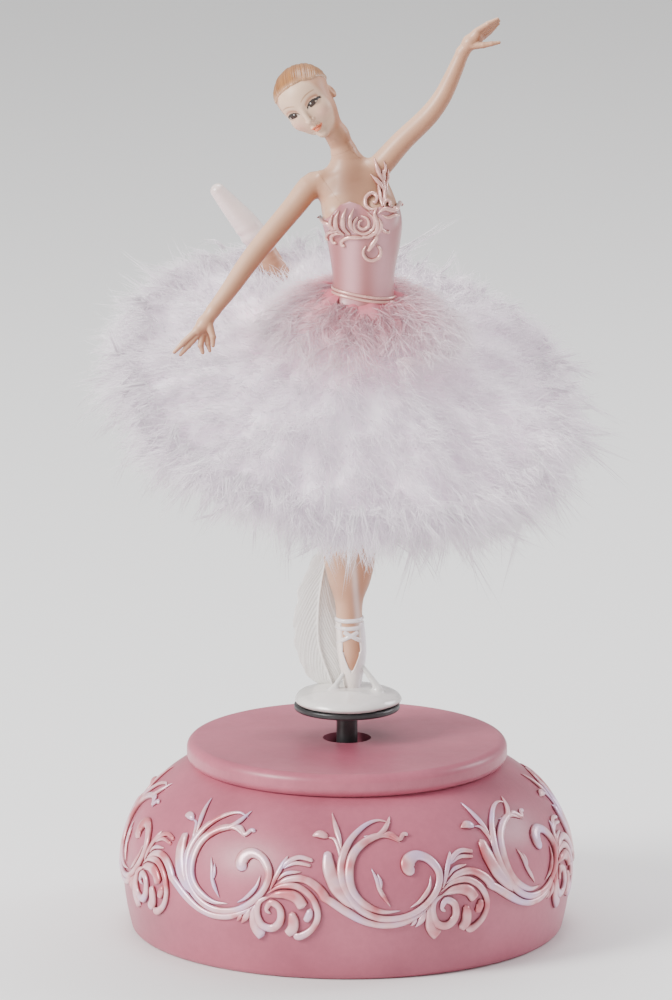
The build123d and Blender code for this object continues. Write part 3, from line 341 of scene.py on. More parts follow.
def closed_sheet(top, under):
    """A closed sheet from two grids of points (rows, columns, 3), with a wall round its edge."""
    rows, cols = top.shape[:2]
    size = rows * cols
    index = np.arange(size).reshape(rows, cols)
    a, b, c, d = index[:-1, :-1], index[:-1, 1:], index[1:, 1:], index[1:, :-1]
    face = np.stack([a, d, c, b], -1).reshape(-1, 4)
    rim = np.concatenate([index[0, :], index[1:, -1], index[-1, -2::-1], index[-2:0:-1, 0]])
    nxt = np.roll(rim, -1)
    wall = np.stack([rim, nxt, nxt + size, rim + size], 1)
    points = np.vstack([top.reshape(-1, 3), under.reshape(-1, 3)])
    return points, np.vstack([face, face[:, ::-1] + size, wall])


def tapered(count, sharp_start, sharp_end):
    """A share of the width along a stroke that closes both ends, sharply or in a round."""
    t = np.linspace(0, 1, count)
    start = np.clip(t / (0.35 if sharp_start else 0.06), 0, 1)
    end = np.clip((1 - t) / (0.35 if sharp_end else 0.06), 0, 1)
    return np.sqrt(np.clip(start * (2 - start), 0, 1)) * np.sqrt(np.clip(end * (2 - end), 0, 1)) * 0.97 + 0.03


# ---------------------------------------------------------------- materials


NOISE_ROUGHNESS = 0.55


class Shader:
    """A Principled material with short calls for its nodes."""

    def __init__(self, name):
        self.material = bpy.data.materials.new(name)
        self.material.use_nodes = True
        self.tree = self.material.node_tree
        self.main = self.tree.nodes["Principled BSDF"]
        self.place = self.tree.nodes.new("ShaderNodeTexCoord").outputs["Object"]

    def set(self, **values):
        for key, value in values.items():
            self.main.inputs[key.replace("_", " ")].default_value = value
        return self

    def link(self, output, socket):
        self.tree.links.new(output, socket)

    def noise(self, scale, detail, distortion=0.0, stretch=None):
        """Noise of a scale in millimetres."""
        node = self.tree.nodes.new("ShaderNodeTexNoise")
        node.inputs["Scale"].default_value = 1 / (scale * MM)
        node.inputs["Detail"].default_value = detail
        node.inputs["Roughness"].default_value = NOISE_ROUGHNESS
        node.inputs["Distortion"].default_value = distortion
        place = self.place
        if stretch is not None:
            mapping = self.tree.nodes.new("ShaderNodeMapping")
            mapping.inputs["Scale"].default_value = stretch
            self.link(place, mapping.inputs["Vector"])
            place = mapping.outputs["Vector"]
        self.link(place, node.inputs["Vector"])
        return node.outputs["Fac"]

    def ramp(self, factor, *stops):
        """A colour ramp; stops are (position, (r, g, b)) or (position, value)."""
        node = self.tree.nodes.new("ShaderNodeValToRGB")
        elements = node.color_ramp.elements
        while len(elements) < len(stops):
            elements.new(0.5)
        for element, (at, colour) in zip(elements, stops):
            element.position = at
            rgb = colour if isinstance(colour, tuple) else (colour,) * 3
            element.color = (*rgb, 1)
        self.link(factor, node.inputs["Fac"])
        return node.outputs["Color"]

    def mix(self, factor, a, b, blend="MIX"):
        """Mixes two colours, each a socket or a tuple; the factor is a socket or a number."""
        node = self.tree.nodes.new("ShaderNodeMix")
        node.data_type = "RGBA"
        node.blend_type = blend
        for socket, value in ((node.inputs[0], factor), (node.inputs[6], a), (node.inputs[7], b)):
            if isinstance(value, bpy.types.NodeSocket):
                self.link(value, socket)
            else:
                socket.default_value = (*value, 1) if isinstance(value, tuple) else value
        return node.outputs[2]

    def span(self, value, low, high):
        """A 0 to 1 value moved to a range, for roughness."""
        node = self.tree.nodes.new("ShaderNodeMapRange")
        node.inputs["To Min"].default_value = low
        node.inputs["To Max"].default_value = high
        self.link(value, node.inputs["Value"])
        return node.outputs["Result"]

    def paint(self):
        """The colour painted on the mesh's points."""
        node = self.tree.nodes.new("ShaderNodeVertexColor")
        node.layer_name = "paint"
        return node.outputs["Color"]

    def colour(self, socket):
        self.link(socket, self.main.inputs["Base Color"])
        return self

    def rough(self, value, low, high):
        self.link(self.span(value, low, high), self.main.inputs["Roughness"])
        return self

    def bump(self, value, depth):
        """Bump of a depth in millimetres."""
        node = self.tree.nodes.new("ShaderNodeBump")
        node.inputs["Strength"].default_value = 1.0
        node.inputs["Distance"].default_value = depth * MM
        self.link(value, node.inputs["Height"])
        self.link(node.outputs["Normal"], self.main.inputs["Normal"])
        return self


def rose_resin():
    """Cast resin sprayed dusty rose, with a satin pearl coat and a soft dark-pink shading."""
    s = Shader("dusty_rose_resin").set(Coat_Weight=0.25, Coat_Roughness=0.3, Specular_IOR_Level=0.4)
    cloud = s.noise(34, detail=3)
    fine = s.noise(0.55, detail=6)
    base = s.ramp(cloud, (0.3, (0.37, 0.09, 0.135)), (0.62, (0.50, 0.135, 0.195)))
    speck = s.ramp(s.noise(1.6, detail=5), (0.35, 0.93), (0.7, 1.0))
    s.colour(s.mix(1.0, base, speck, "MULTIPLY"))
    s.rough(s.noise(6, detail=5), 0.36, 0.52)
    return s.bump(fine, 0.035).material


def pearl_relief():
    """The relief's paint: darker pink washed into the edges and deepened to painted shade at the foot of each
    stroke, and pearl silver to rose on the crests.
    """
    s = Shader("pearl_silver_paint").set(Coat_Weight=0.5, Coat_Roughness=0.22, Metallic=0.18)
    crest = s.paint()
    tint = s.noise(9, detail=2)
    pearl = s.ramp(tint, (0.36, (0.64, 0.17, 0.2)), (0.5, (0.85, 0.5, 0.54)), (0.68, (0.72, 0.5, 0.74)))
    # Darkest pink where each stroke meets the dome: a washed-in colour deepened by painted shade.
    wash_and_shade = s.ramp(crest, (0.0, (0.14, 0.03, 0.045)), (0.35, (0.40, 0.15, 0.17)), (0.8, (1.0, 1.0, 1.0)))
    s.colour(s.mix(1.0, pearl, wash_and_shade, "MULTIPLY"))
    s.rough(s.noise(1.4, detail=5), 0.24, 0.4)
    return s.bump(s.noise(0.4, detail=4), 0.02).material


def painted(name, rough, coat, coat_roughness=0.25, grain=0.012, sheen=0.0, metallic=0.0):
    """Hand-painted resin: the colour is painted on the points, with a fine brushed unevenness."""
    s = Shader(name).set(Coat_Weight=coat, Coat_Roughness=coat_roughness)
    s.set(Sheen_Weight=sheen, Metallic=metallic)
    uneven = s.ramp(s.noise(2.6, detail=5), (0.3, 0.955), (0.7, 1.0))
    s.colour(s.mix(1.0, s.paint(), uneven, "MULTIPLY"))
    s.rough(s.noise(1.1, detail=4), *rough)
    return s.bump(s.noise(0.32, detail=5), grain).material


def metal(name, dark, light, rough, brushed=(1, 1, 1)):
    """Machined or plated metal with fine tool marks and a slightly stained surface."""
    s = Shader(name).set(Metallic=1.0, Anisotropic=0.3)
    s.colour(s.ramp(s.noise(1.8, detail=6), (0.3, dark), (0.7, light)))
    marks = s.noise(0.5, detail=6, stretch=brushed)
    s.rough(marks, *rough)
    return s.bump(marks, 0.008).material


def plastic(name, dark, light, rough):
    """Moulded plastic with a faint grain."""
    s = Shader(name).set(Coat_Weight=0.1, Coat_Roughness=0.3)
    s.colour(s.ramp(s.noise(3, detail=5), (0.3, dark), (0.7, light)))
    s.rough(s.noise(0.8, detail=5), *rough)
    return s.bump(s.noise(0.3, detail=4), 0.01).material


def board():
    """Pressed cover board with short fibres."""
    s = Shader("cover_board")
    fibres = s.noise(0.7, detail=8, distortion=1.5, stretch=(1, 4, 1))
    s.colour(s.ramp(fibres, (0.3, (0.10, 0.075, 0.06)), (0.7, (0.22, 0.17, 0.14))))
    s.rough(fibres, 0.7, 0.9)
    return s.bump(fibres, 0.05).material


def feather(name, glow=0.0):
    """Marabou down: dyed barbs, soft and matt; glow stands for the light they pass to each other."""
    s = Shader(name).set(Emission_Color=(1.0, 0.84, 0.97, 1), Emission_Strength=glow)
    s.set(Sheen_Weight=0.4, Sheen_Roughness=0.45, Specular_IOR_Level=0.2)
    s.set(Subsurface_Weight=0.7, Subsurface_Radius=(1.0, 0.85, 0.9), Subsurface_Scale=0.004)
    strand = s.ramp(s.noise(1.5, detail=5), (0.3, 0.93), (0.65, 1.0))
    s.colour(s.mix(1.0, s.paint(), strand, "MULTIPLY"))
    return s.rough(s.noise(2, detail=3), 0.72, 0.9).material


# Dark and light colour, roughness, and the stretch of the tool marks, by material slot.
METALS = {
    "plated_steel": ((0.42, 0.42, 0.41), (0.66, 0.66, 0.65), (0.2, 0.38)),
    "die_cast_zinc": ((0.44, 0.43, 0.41), (0.62, 0.61, 0.59), (0.38, 0.55)),
    "comb_steel": ((0.55, 0.56, 0.58), (0.78, 0.78, 0.8), (0.14, 0.28), (12, 1, 1)),
    "brass": ((0.62, 0.41, 0.13), (0.84, 0.62, 0.27), (0.18, 0.34)),
}
PLASTICS = {
    "nylon": ((0.72, 0.71, 0.66), (0.83, 0.82, 0.77), (0.35, 0.5)),
    "black_plastic": ((0.012, 0.012, 0.013), (0.03, 0.03, 0.032), (0.28, 0.45)),
}
OTHER_FINISHES = {"dusty_rose_resin": rose_resin, "cover_board": board}


def cad_finish(slot):
    """The material of a CAD slot, or None where the slot's nodes are all replaced."""
    if slot in METALS:
        return metal(slot, *METALS[slot])
    if slot in PLASTICS:
        return plastic(slot, *PLASTICS[slot])
    return OTHER_FINISHES[slot]() if slot in OTHER_FINISHES else None


def finish_cad_nodes():
    """Gives each CAD node that stays its own material, by the record's slots."""
    made = {}
    for entry in frame["record"]["subparts"]:
        slot = entry["material_slot"]
        if slot not in made:
            made[slot] = cad_finish(slot)
        if made[slot] is None:
            continue
        for place in frame["nodes"][entry["node"]].material_slots:
            place.material = made[slot]


# ---------------------------------------------------------------- relief on the dome


def dome_radius(z):
    upper = SHOULDER_CENTRE_R + np.sqrt(np.maximum(SHOULDER_R**2 - (z - DOME_WIDEST_Z) ** 2, 0))
    lower = DOME_FOOT_R + (DOME_WIDEST_R - DOME_FOOT_R) * np.sin(0.5 * math.pi * z / DOME_WIDEST_Z)
    return np.where(z >= DOME_WIDEST_Z, upper, lower)


def on_dome(along, up, motif_angle):
    """Points and outward normals on the dome, for places given along its widest ring and up."""
    angle = np.radians(motif_angle) + along / DOME_WIDEST_R
    r = dome_radius(up)
    slope = (dome_radius(up + 0.1) - dome_radius(up - 0.1)) / 0.2
    out = np.stack([np.cos(angle), np.sin(angle), -slope], 1)
    return np.stack([r * np.cos(angle), r * np.sin(angle), up], 1), unit(out)


# Each stroke of the scroll motif: half-widths along it, whether its ends are sharp, and points (along, up).
SCROLL_STROKES = (
    # the great scroll and its volute
    ((0.5, 0.75, 0.9, 0.9, 0.75, 0.7, 0.75, 1.0, 1.9), (True, False), (
        (-0.5, 37.0), (-4.5, 37.6), (-9.0, 36.4), (-13.0, 33.4), (-15.0, 29.0), (-14.6, 24.5), (-12.6, 20.6),
        (-9.0, 17.4), (-4.5, 15.8), (1.0, 16.2), (5.5, 18.4), (9.0, 22.0), (10.0, 25.8), (8.0, 28.8),
        (4.8, 30.0), (2.4, 29.0), (2.2, 27.2), (3.6, 26.2))),
    # the band inside it
    ((0.4, 0.9, 1.0, 0.85, 0.5), (True, True), (
        (1.2, 33.0), (-3.5, 34.6), (-8.2, 33.6), (-11.8, 31.0), (-13.0, 27.0), (-12.2, 22.8), (-9.4, 19.6),
        (-5.0, 17.6), (-0.5, 17.6))),
    # the frond over its top, with two curls
    ((0.3, 0.7, 0.6, 0.35), (True, True), ((-9.0, 34.6), (-5.4, 34.4), (-2.6, 36.0), (-0.4, 38.4))),
    ((0.3, 0.6, 0.5, 0.5), (True, False),
     ((-4.5, 34.4), (-1.6, 34.8), (0.8, 33.6), (2.2, 34.6), (3.6, 34.4))),
    # the fat leaf outside it
    ((0.9, 1.45, 1.5, 1.2, 0.6), (False, True), (
        (-18.6, 31.6), (-18.4, 29.2), (-17.6, 26.4), (-16.0, 23.2), (-13.6, 20.4), (-11.0, 18.0))),
    # the bud and its stem
    ((0.5, 0.95, 0.7), (True, True), ((-23.2, 34.6), (-21.0, 34.9), (-18.6, 34.3))),
    ((0.3, 0.4, 0.4), (True, True), ((-18.8, 34.4), (-16.8, 33.8), (-15.6, 31.6), (-15.2, 29.6))),
    # the upright sprig
    ((0.3, 0.6, 0.3), (True, True), ((-18.2, 39.2), (-16.9, 36.6), (-15.5, 33.6), (-15.0, 31.4))),
    # the long tendril from the next motif
    ((0.9, 0.95, 0.7, 0.7, 0.4), (False, True), (
        (-20.4, 21.6), (-17.6, 20.3), (-13.4, 17.6), (-9.0, 15.2), (-4.6, 14.2), (0.0, 14.6), (4.4, 16.4),
        (7.2, 18.4))),
    # the sprig inside the scroll
    ((0.25, 0.45, 0.5, 0.25), (True, True), ((-7.4, 27.8), (-6.2, 25.2), (-5.4, 22.6), (-2.9, 18.6))),
    ((0.2, 0.4, 0.2), (True, True), ((-5.9, 26.6), (-5.2, 24.6), (-5.3, 22.4))),
    # the inner edge of the volute's arm
    ((0.25, 0.5, 0.25), (True, True), ((7.8, 25.4), (7.0, 22.6), (4.6, 19.8), (2.0, 18.2))),
    # the stem that leaves the volute, with its forked sprig
    ((0.35, 0.55, 0.5), (True, True), ((10.6, 22.0), (11.8, 25.0), (13.0, 27.6), (14.4, 30.2))),
    ((0.3, 0.6, 0.55, 0.45), (True, False), ((12.6, 26.4), (14.4, 28.6), (17.4, 29.9), (21.2, 29.3))),
    ((0.25, 0.45, 0.4), (True, False), ((13.4, 27.2), (16.6, 28.6), (20.8, 28.2))),
    ((0.25, 0.45, 0.3), (True, True), ((12.2, 24.4), (14.4, 26.2), (18.4, 26.8))),
    # the frond with the fat end
    ((0.3, 0.7, 0.85, 1.0, 1.1), (True, False), (
        (11.4, 23.0), (15.2, 24.9), (19.2, 25.1), (22.8, 23.2), (25.0, 20.4))),
    # the arc over the small volute
    ((0.4, 0.75, 0.75, 0.7, 0.9), (True, False), (
        (9.8, 21.2), (13.4, 23.2), (17.8, 23.3), (21.4, 20.8), (22.8, 17.0), (21.6, 13.6),
        (18.6, 11.4), (16.6, 11.6))),
    ((0.4, 0.9, 1.25, 1.3), (True, False), ((10.0, 20.4), (13.8, 21.4), (17.4, 20.8), (19.4, 18.4))),
    # the small volute
    ((0.4, 0.8, 0.9, 0.9, 0.8, 0.7), (False, True), (
        (11.2, 16.4), (10.0, 17.4), (11.2, 19.2), (13.4, 18.0), (13.6, 15.0), (11.6, 13.0), (8.8, 13.6),
        (7.6, 16.4), (8.2, 19.2), (10.8, 20.6))),
    # fat lobes beside and below it
    ((0.7, 1.2, 1.25, 0.9), (False, False), ((16.4, 17.4), (16.8, 15.2), (16.6, 13.2), (15.0, 11.6))),
    ((0.6, 0.9, 0.7), (False, False), ((21.0, 18.4), (20.6, 16.6), (19.6, 15.0))),
    ((0.5, 0.8, 1.1, 1.35), (True, False), ((7.2, 18.8), (6.6, 15.6), (7.2, 12.6), (9.2, 10.6))),
    # the two small leaves under the stem
    ((0.4, 0.75, 0.3), (True, True), ((5.8, 17.4), (4.8, 15.2), (3.2, 13.2))),
    ((0.25, 0.5, 0.25), (True, True), ((3.6, 16.0), (2.9, 14.6), (2.0, 13.6))),
)


def scroll_relief():
    """The raised scrollwork round the dome, one motif at a time."""
    parts = []
    for motif in range(MOTIF_COUNT):
        centre = MOTIF_FIRST_ANGLE + 360 / MOTIF_COUNT * motif
        for widths, ends, points in SCROLL_STROKES:
            path = smooth_curve(points, 0.42)
            centres, ups = on_dome(path[:, 0], path[:, 1], centre)
            close = tapered(len(path), *ends)
            half = RELIEF_WIDTH * spread(widths, len(path)) * close
            rise = np.minimum(RELIEF_RISE, 0.35 + 0.6 * half) * np.sqrt(close)
            sink = np.full(len(path), RELIEF_SINK)
            parts.append(moulding(centres, ups, half, rise, sink, RELIEF_FLATNESS))
    points, quads, colours = joined(parts)
    paint = pearl_relief()
    new_piece("base_scrollwork", points, quads, "base", paint, colours, ["base_scrolls"])


# ---------------------------------------------------------------- the dancer's body

SKIN = (0.46, 0.195, 0.10)
SKIN_SHADE = (0.16, 0.045, 0.022)
# SKIN_PALE is the painted highlight of the skin's lit sides, and the skin tone at the hairline.
SKIN_PALE = (0.80, 0.53, 0.37)
LIP = (0.74, 0.17, 0.07)
LASH = (0.012, 0.007, 0.006)
BROW = (0.30, 0.12, 0.045)
BODICE_PINK = (0.33, 0.085, 0.08)
# The lighter bodice colour is a painted reflection, laid on in bands across the front.
BODICE_HIGHLIGHT = (0.70, 0.34, 0.38)
BODICE_SHADE = (0.36, 0.07, 0.07)
BODICE_GLEAM_X = 1.0
BODICE_GLEAM_PITCH = 7.5
PEARL = (0.90, 0.80, 0.74)
PEARL_SHADE = (0.70, 0.62, 0.74)
# The raised shoe's pink, laid on most where its sides face down, as painted shade.
PEARL_BLUSH_SHADE = (0.85, 0.60, 0.60)
HAIR = (0.40, 0.17, 0.05)
HAIR_DARK = (0.15, 0.048, 0.015)

TORSO = (
    (3.4, 0.0, 148.0, 8.8, 7.2),
    (3.5, 0.0, 155.0, 8.0, 6.4),
    (3.9, 0.0, 160.0, 7.1, 5.5),
    (4.0, -0.1, 165.0, 7.4, 5.7),
    (4.1, -0.3, 171.0, 8.4, 6.3),
    (3.6, -0.6, 177.0, 9.4, 6.6),
    (2.5, -0.2, 183.0, 9.0, 6.0),
    (1.4, 0.4, 188.0, 7.4, 4.6),
    (0.6, 0.8, 192.5, 3.4, 3.2),
)
NECK = ((0.8, 1.4, 188.5, 3.8), (-0.6, 0.9, 193.5, 2.95), (-2.4, 0.3, 198.0, 2.7), (-5.4, -0.4, 202.5, 2.9))
LEFT_ARM = (
    (5.0, 0.6, 187.0, 3.2),
    (8.6, 0.5, 191.0, 2.95),
    (13.5, 0.4, 196.6, 2.65),
    (19.6, 0.4, 202.6, 2.45),
    (23.2, 0.3, 207.6, 2.2),
    (26.0, 0.1, 213.6, 1.9),
    (28.0, 0.0, 218.4, 1.6),
)
RIGHT_ARM = (
    (-4.8, 0.6, 185.6, 3.3),
    (-8.6, 0.0, 185.6, 3.05),
    (-13.2, -2.0, 180.4, 2.75),
    (-19.6, -5.0, 173.2, 2.6),
    (-24.0, -7.6, 168.0, 2.45),
    (-28.6, -10.6, 161.9, 2.1),
    (-32.4, -12.7, 157.2, 1.7),
)
SHOULDER_BLEND = 2.2
STUB_SHARE = 0.36


def hand(p, wrist, palm, fingers, thumb):
    """A flat palm with fingers and a thumb, each a chain of thin bars."""
    out = chain(p, (wrist, palm[0]), 0.6)
    for knuckle in palm[1:]:
        out = smooth_min(out, chain(p, (palm[0], knuckle), 0.6), 0.9)
    for finger in (*fingers, thumb):
        out = smooth_min(out, chain(p, finger, 0.2), 0.25)
    return out


LEFT_HAND = dict(
    wrist=(28.0, 0.0, 218.4, 1.6),
    palm=((29.8, -0.1, 220.9, 1.6), (31.4, -0.6, 223.1, 1.3), (31.9, 0.4, 221.9, 1.25)),
    fingers=(
        ((31.6, -0.9, 223.9, 0.8), (34.2, -1.1, 225.6, 0.7), (36.4, -1.1, 226.8, 0.42)),
        ((32.3, -0.4, 223.3, 0.8), (34.7, -0.3, 225.0, 0.7), (36.7, -0.2, 226.2, 0.42)),
        ((32.8, 0.4, 222.6, 0.8), (35.0, 0.6, 224.1, 0.68), (36.6, 0.9, 225.3, 0.42)),
        ((32.9, 1.1, 221.9, 0.72), (34.6, 1.5, 223.2, 0.6), (35.9, 1.9, 224.2, 0.38)),
    ),
    thumb=(
        (30.4, -1.0, 220.2, 1.0),
        (33.0, -1.8, 220.5, 0.75),
        (35.0, -2.1, 220.9, 0.6),
        (36.8, -2.1, 221.2, 0.4),
    ),
)
RIGHT_HAND = dict(
    wrist=(-32.4, -12.7, 157.2, 1.7),
    palm=((-34.5, -13.7, 154.2, 1.65), (-36.2, -14.6, 152.6, 1.3), (-34.2, -13.4, 152.2, 1.3)),
    fingers=(
        ((-36.8, -14.9, 152.3, 0.85), (-39.6, -15.3, 149.8, 0.75), (-41.9, -15.3, 147.4, 0.45)),
        ((-36.2, -14.5, 151.6, 0.85), (-38.5, -14.9, 149.0, 0.75), (-40.4, -14.9, 146.7, 0.45)),
        ((-35.1, -14.0, 151.4, 0.85), (-35.5, -14.6, 149.0, 0.75), (-35.0, -14.9, 147.2, 0.45)),
        ((-34.0, -13.4, 151.6, 0.8), (-33.8, -13.9, 149.2, 0.68), (-33.3, -14.2, 147.5, 0.42)),
    ),
    thumb=((-33.4, -14.5, 153.9, 1.0), (-32.5, -15.6, 151.2, 0.75), (-32.5, -16.0, 149.2, 0.48)),
)


def trunk(p):
    """Torso, bust, shoulders and neck."""
    out = loft(p, TORSO)
    for centre, radii in (((-1.2, -4.6, 179.4), (4.4, 3.6, 4.2)), ((7.6, -4.4, 179.8), (4.3, 3.6, 4.2))):
        out = smooth_min(out, ball(p, centre, radii), 1.5)
    out = smooth_min(out, chain(p, NECK, 1.0), 2.6)
    for collar in (((-0.4, -1.6, 189.6), (-6.2, -1.4, 188.6)), ((2.6, -1.6, 189.8), (6.4, -1.2, 190.0))):
        out = smooth_min(out, cone(p, *collar, 0.9, 0.8), 1.1)
    return out


def skin_field(p):
    """The whole upper body in one skin."""
    out = trunk(p)
    for arm, fingers in ((LEFT_ARM, LEFT_HAND), (RIGHT_ARM, RIGHT_HAND)):
        whole = smooth_min(limb(p, arm), hand(p, **fingers), 0.5)
        out = smooth_min(out, whole, SHOULDER_BLEND)
    return out


def shoulders(p):
    """The trunk with only the start of each arm, the same skin as the whole up to there."""
    out = trunk(p)
    for arm in (LEFT_ARM, RIGHT_ARM):
        out = smooth_min(out, limb(p, arm, STUB_SHARE), SHOULDER_BLEND)
    return out


def beyond(p, point, direction):
    """Negative on the far side of a plane."""
    d = unit(np.array(direction, float))
    return -((p - np.array(point, np.float32)) @ d.astype(np.float32))


LEFT_CUT = ((7.6, 0.5, 190.0), (1.0, 0.0, 1.1))
RIGHT_CUT = ((-7.0, 0.0, 186.0), (-1.0, -0.3, -0.6))
NECK_CUT = ((-1.0, 0.7, 195.4), (-0.4, 0.0, 1.0))
OVERLAP = 1.2
INSET = 0.03
ARM_ROOM = 5.5
BODICE_THICKNESS = 0.38


def neckline(x):
    """Height of the bodice's top edge in front: a tab at the armpit, and two cups."""
    return np.interp(
        x,
        (-9.0, -6.4, -4.2, -1.8, 0.6, 3.2, 5.3, 7.6, 10.0, 13.0),
        (176.6, 177.4, 179.4, 182.2, 182.9, 182.0, 180.7, 181.7, 181.9, 180.4),
    )


def bodice_field(p):
    """The bodice stands a little off the skin, from its neckline down to the waist."""
    front = neckline(p[:, 0])
    edge = np.where(p[:, 1] < 0, front, front - 0.6 * np.minimum(p[:, 1], 6.0))
    shell = trunk(p) - BODICE_THICKNESS
    return smooth_max(smooth_max(shell, p[:, 2] - edge, 0.35), 156.5 - p[:, 2], 0.5)


def plain(colour, points):
    """One colour for every point."""
    return np.tile(colour, (len(points), 1))


def tinted(base, other, amount):
    """A colour moved towards another by an amount for each point."""
    amount = np.clip(amount, 0, 1)[:, None]
    return np.asarray(base) * (1 - amount) + np.asarray(other) * amount


def skin_colours(points, normals):
    """Flesh with a painted highlight on the up-facing and left-facing sides, and painted shade on the
    down-facing sides and the front of the chest.
    """
    # Painted highlight: paler towards SKIN_PALE on up-facing and left-facing sides.
    lit = 0.25 + 0.4 * normals[:, 2] - 0.35 * normals[:, 0]
    pale = tinted(plain(SKIN, points), SKIN_PALE, lit)
    # Painted shade on down-facing sides, and on the front-facing chest.
    chest = np.exp(-(((points[:, 0] - 1.0) / 5.5) ** 2) - ((points[:, 2] - 187.0) / 6.0) ** 2)
    painted_shade = np.clip(-normals[:, 2] - 0.1, 0, 1) + 0.9 * chest * np.clip(-normals[:, 1], 0, 1)
    return tinted(pale, SKIN_SHADE, 0.72 * painted_shade)


def field_piece(name, field, low, high, step, material, colour, replaces=()):
    """A piece of the figure from its distance field, coloured by a function of points and normals."""
    points, quads = surface(field, low, high, step)
    normals = unit(gradient(field, points))
    return new_piece(name, points, quads, FIGURE, material, colour(points, normals), replaces)


def arm_piece(node, stations, parts, cut, skin):
    """One arm and hand, cut from the skin at the shoulder."""

    def arm(p):
        return np.maximum(skin_field(p), beyond(p, *cut) - OVERLAP)

    ends = [stations[0], stations[3], stations[-1]] + [finger[-1] for finger in parts["fingers"]]
    places = np.array([end[:3] for end in ends])
    low, high = places.min(0) - ARM_ROOM, places.max(0) + ARM_ROOM
    field_piece(node + "_skin", arm, low, high, 0.16, skin, skin_colours, [node])


def upper_body(skin):
    """Torso, arms and bodice."""

    def torso(p):
        body = shoulders(p) + INSET
        return np.maximum(np.maximum(body, 150.0 - p[:, 2]), -beyond(p, *NECK_CUT) - OVERLAP)

    low, high = (-18, -11, 149), (20, 10, 203)
    field_piece("torso_skin", torso, low, high, 0.22, skin, skin_colours, ["torso"])
    arm_piece("left_arm", LEFT_ARM, LEFT_HAND, LEFT_CUT, skin)
    arm_piece("right_arm", RIGHT_ARM, RIGHT_HAND, RIGHT_CUT, skin)

    def pink(points, normals):
        # Painted reflection: bright vertical satin bands that repeat across x, and painted shade on the sides
        # that face -x.
        sheen = 0.5 + 0.5 * np.cos((points[:, 0] - BODICE_GLEAM_X) * 2 * math.pi / BODICE_GLEAM_PITCH)
        base = tinted(plain(BODICE_PINK, points), BODICE_HIGHLIGHT, 0.2 + 0.7 * sheen)
        return tinted(base, BODICE_SHADE, 0.45 * np.clip(-0.6 - normals[:, 0], 0, 1) * 2.5)

    satin = painted("pink_bodice", (0.24, 0.36), coat=0.5, coat_roughness=0.2, sheen=0.15)
    field_piece("bodice", bodice_field, (-12, -12, 155), (17, 10, 186), 0.22, satin, pink)


# ---------------------------------------------------------------- head and hair


def head_turn():
    return rotation(1, HEAD_ROLL) @ rotation(2, HEAD_TURN) @ rotation(0, HEAD_NOD)


def to_head(p):
    """Points in the head's own frame: to its left, forward, and up."""
    q = (p - np.array(HEAD_CENTRE, np.float32)) @ head_turn().astype(np.float32)
    return q * np.array((1, -1, 1), np.float32)


def mirrored(q):
    """The head's frame folded at its middle plane."""
    return np.stack([np.abs(q[:, 0]), q[:, 1], q[:, 2]], 1)


SKULL = (0, -0.9, 2.0)
SKULL_RADII = (6.6, 7.6, 6.2)


def face_field(q):
    m = mirrored(q)
    out = ball(q, SKULL, SKULL_RADII)
    out = smooth_min(out, ball(q, (0, 1.2, -2.2), (5.75, 5.9, 7.0)), 1.6)
    out = smooth_min(out, ball(q, (0, 5.4, -7.6), (1.5, 1.3, 1.3)), 1.5)
    out = smooth_min(out, ball(m, (3.3, 4.3, -2.4), (1.9, 1.9, 2.0)), 1.4)
    out = smooth_max(out, -ball(m, (2.9, 8.0, 0.5), (2.0, 1.5, 1.3)), 1.0)
    out = smooth_min(out, ball(m, (2.8, 5.3, 0.3), (1.75, 1.05, 1.0)), 0.35)
    out = smooth_min(out, cone(q, (0, 6.5, 0.9), (0, 8.0, -2.5), 0.42, 0.72), 0.75)
    out = smooth_min(out, ball(m, (0.75, 7.1, -2.75), (0.5, 0.6, 0.45)), 0.35)
    out = smooth_min(out, ball(m, (0.5, 6.8, -4.75), (0.95, 0.6, 0.4)), 0.3)
    out = smooth_min(out, ball(q, (0, 6.8, -5.6), (1.05, 0.7, 0.48)), 0.25)
    ear = ball(m, (6.0, -0.9, -2.1), (0.75, 1.3, 1.8))
    ear = smooth_max(ear, -ball(m, (6.8, -0.6, -1.9), (0.55, 0.75, 1.2)), 0.3)
    return smooth_min(out, ear, 0.5)


def head_field(p):
    """Head and neck in one skin, down to the neck's joint."""
    out = smooth_min(face_field(to_head(p)), skin_field(p), 1.6)
    return np.maximum(out, beyond(p, *NECK_CUT) - OVERLAP)


def band(x, y, curve, width, low, high, soft=0.05):
    """Share of paint in a thin band along a curve y(x) between two ends."""
    inside = np.clip((width - np.abs(y - curve)) / soft + 0.5, 0, 1)
    return inside * np.clip((x - low) / 0.12, 0, 1) * np.clip((high - x) / 0.12, 0, 1)


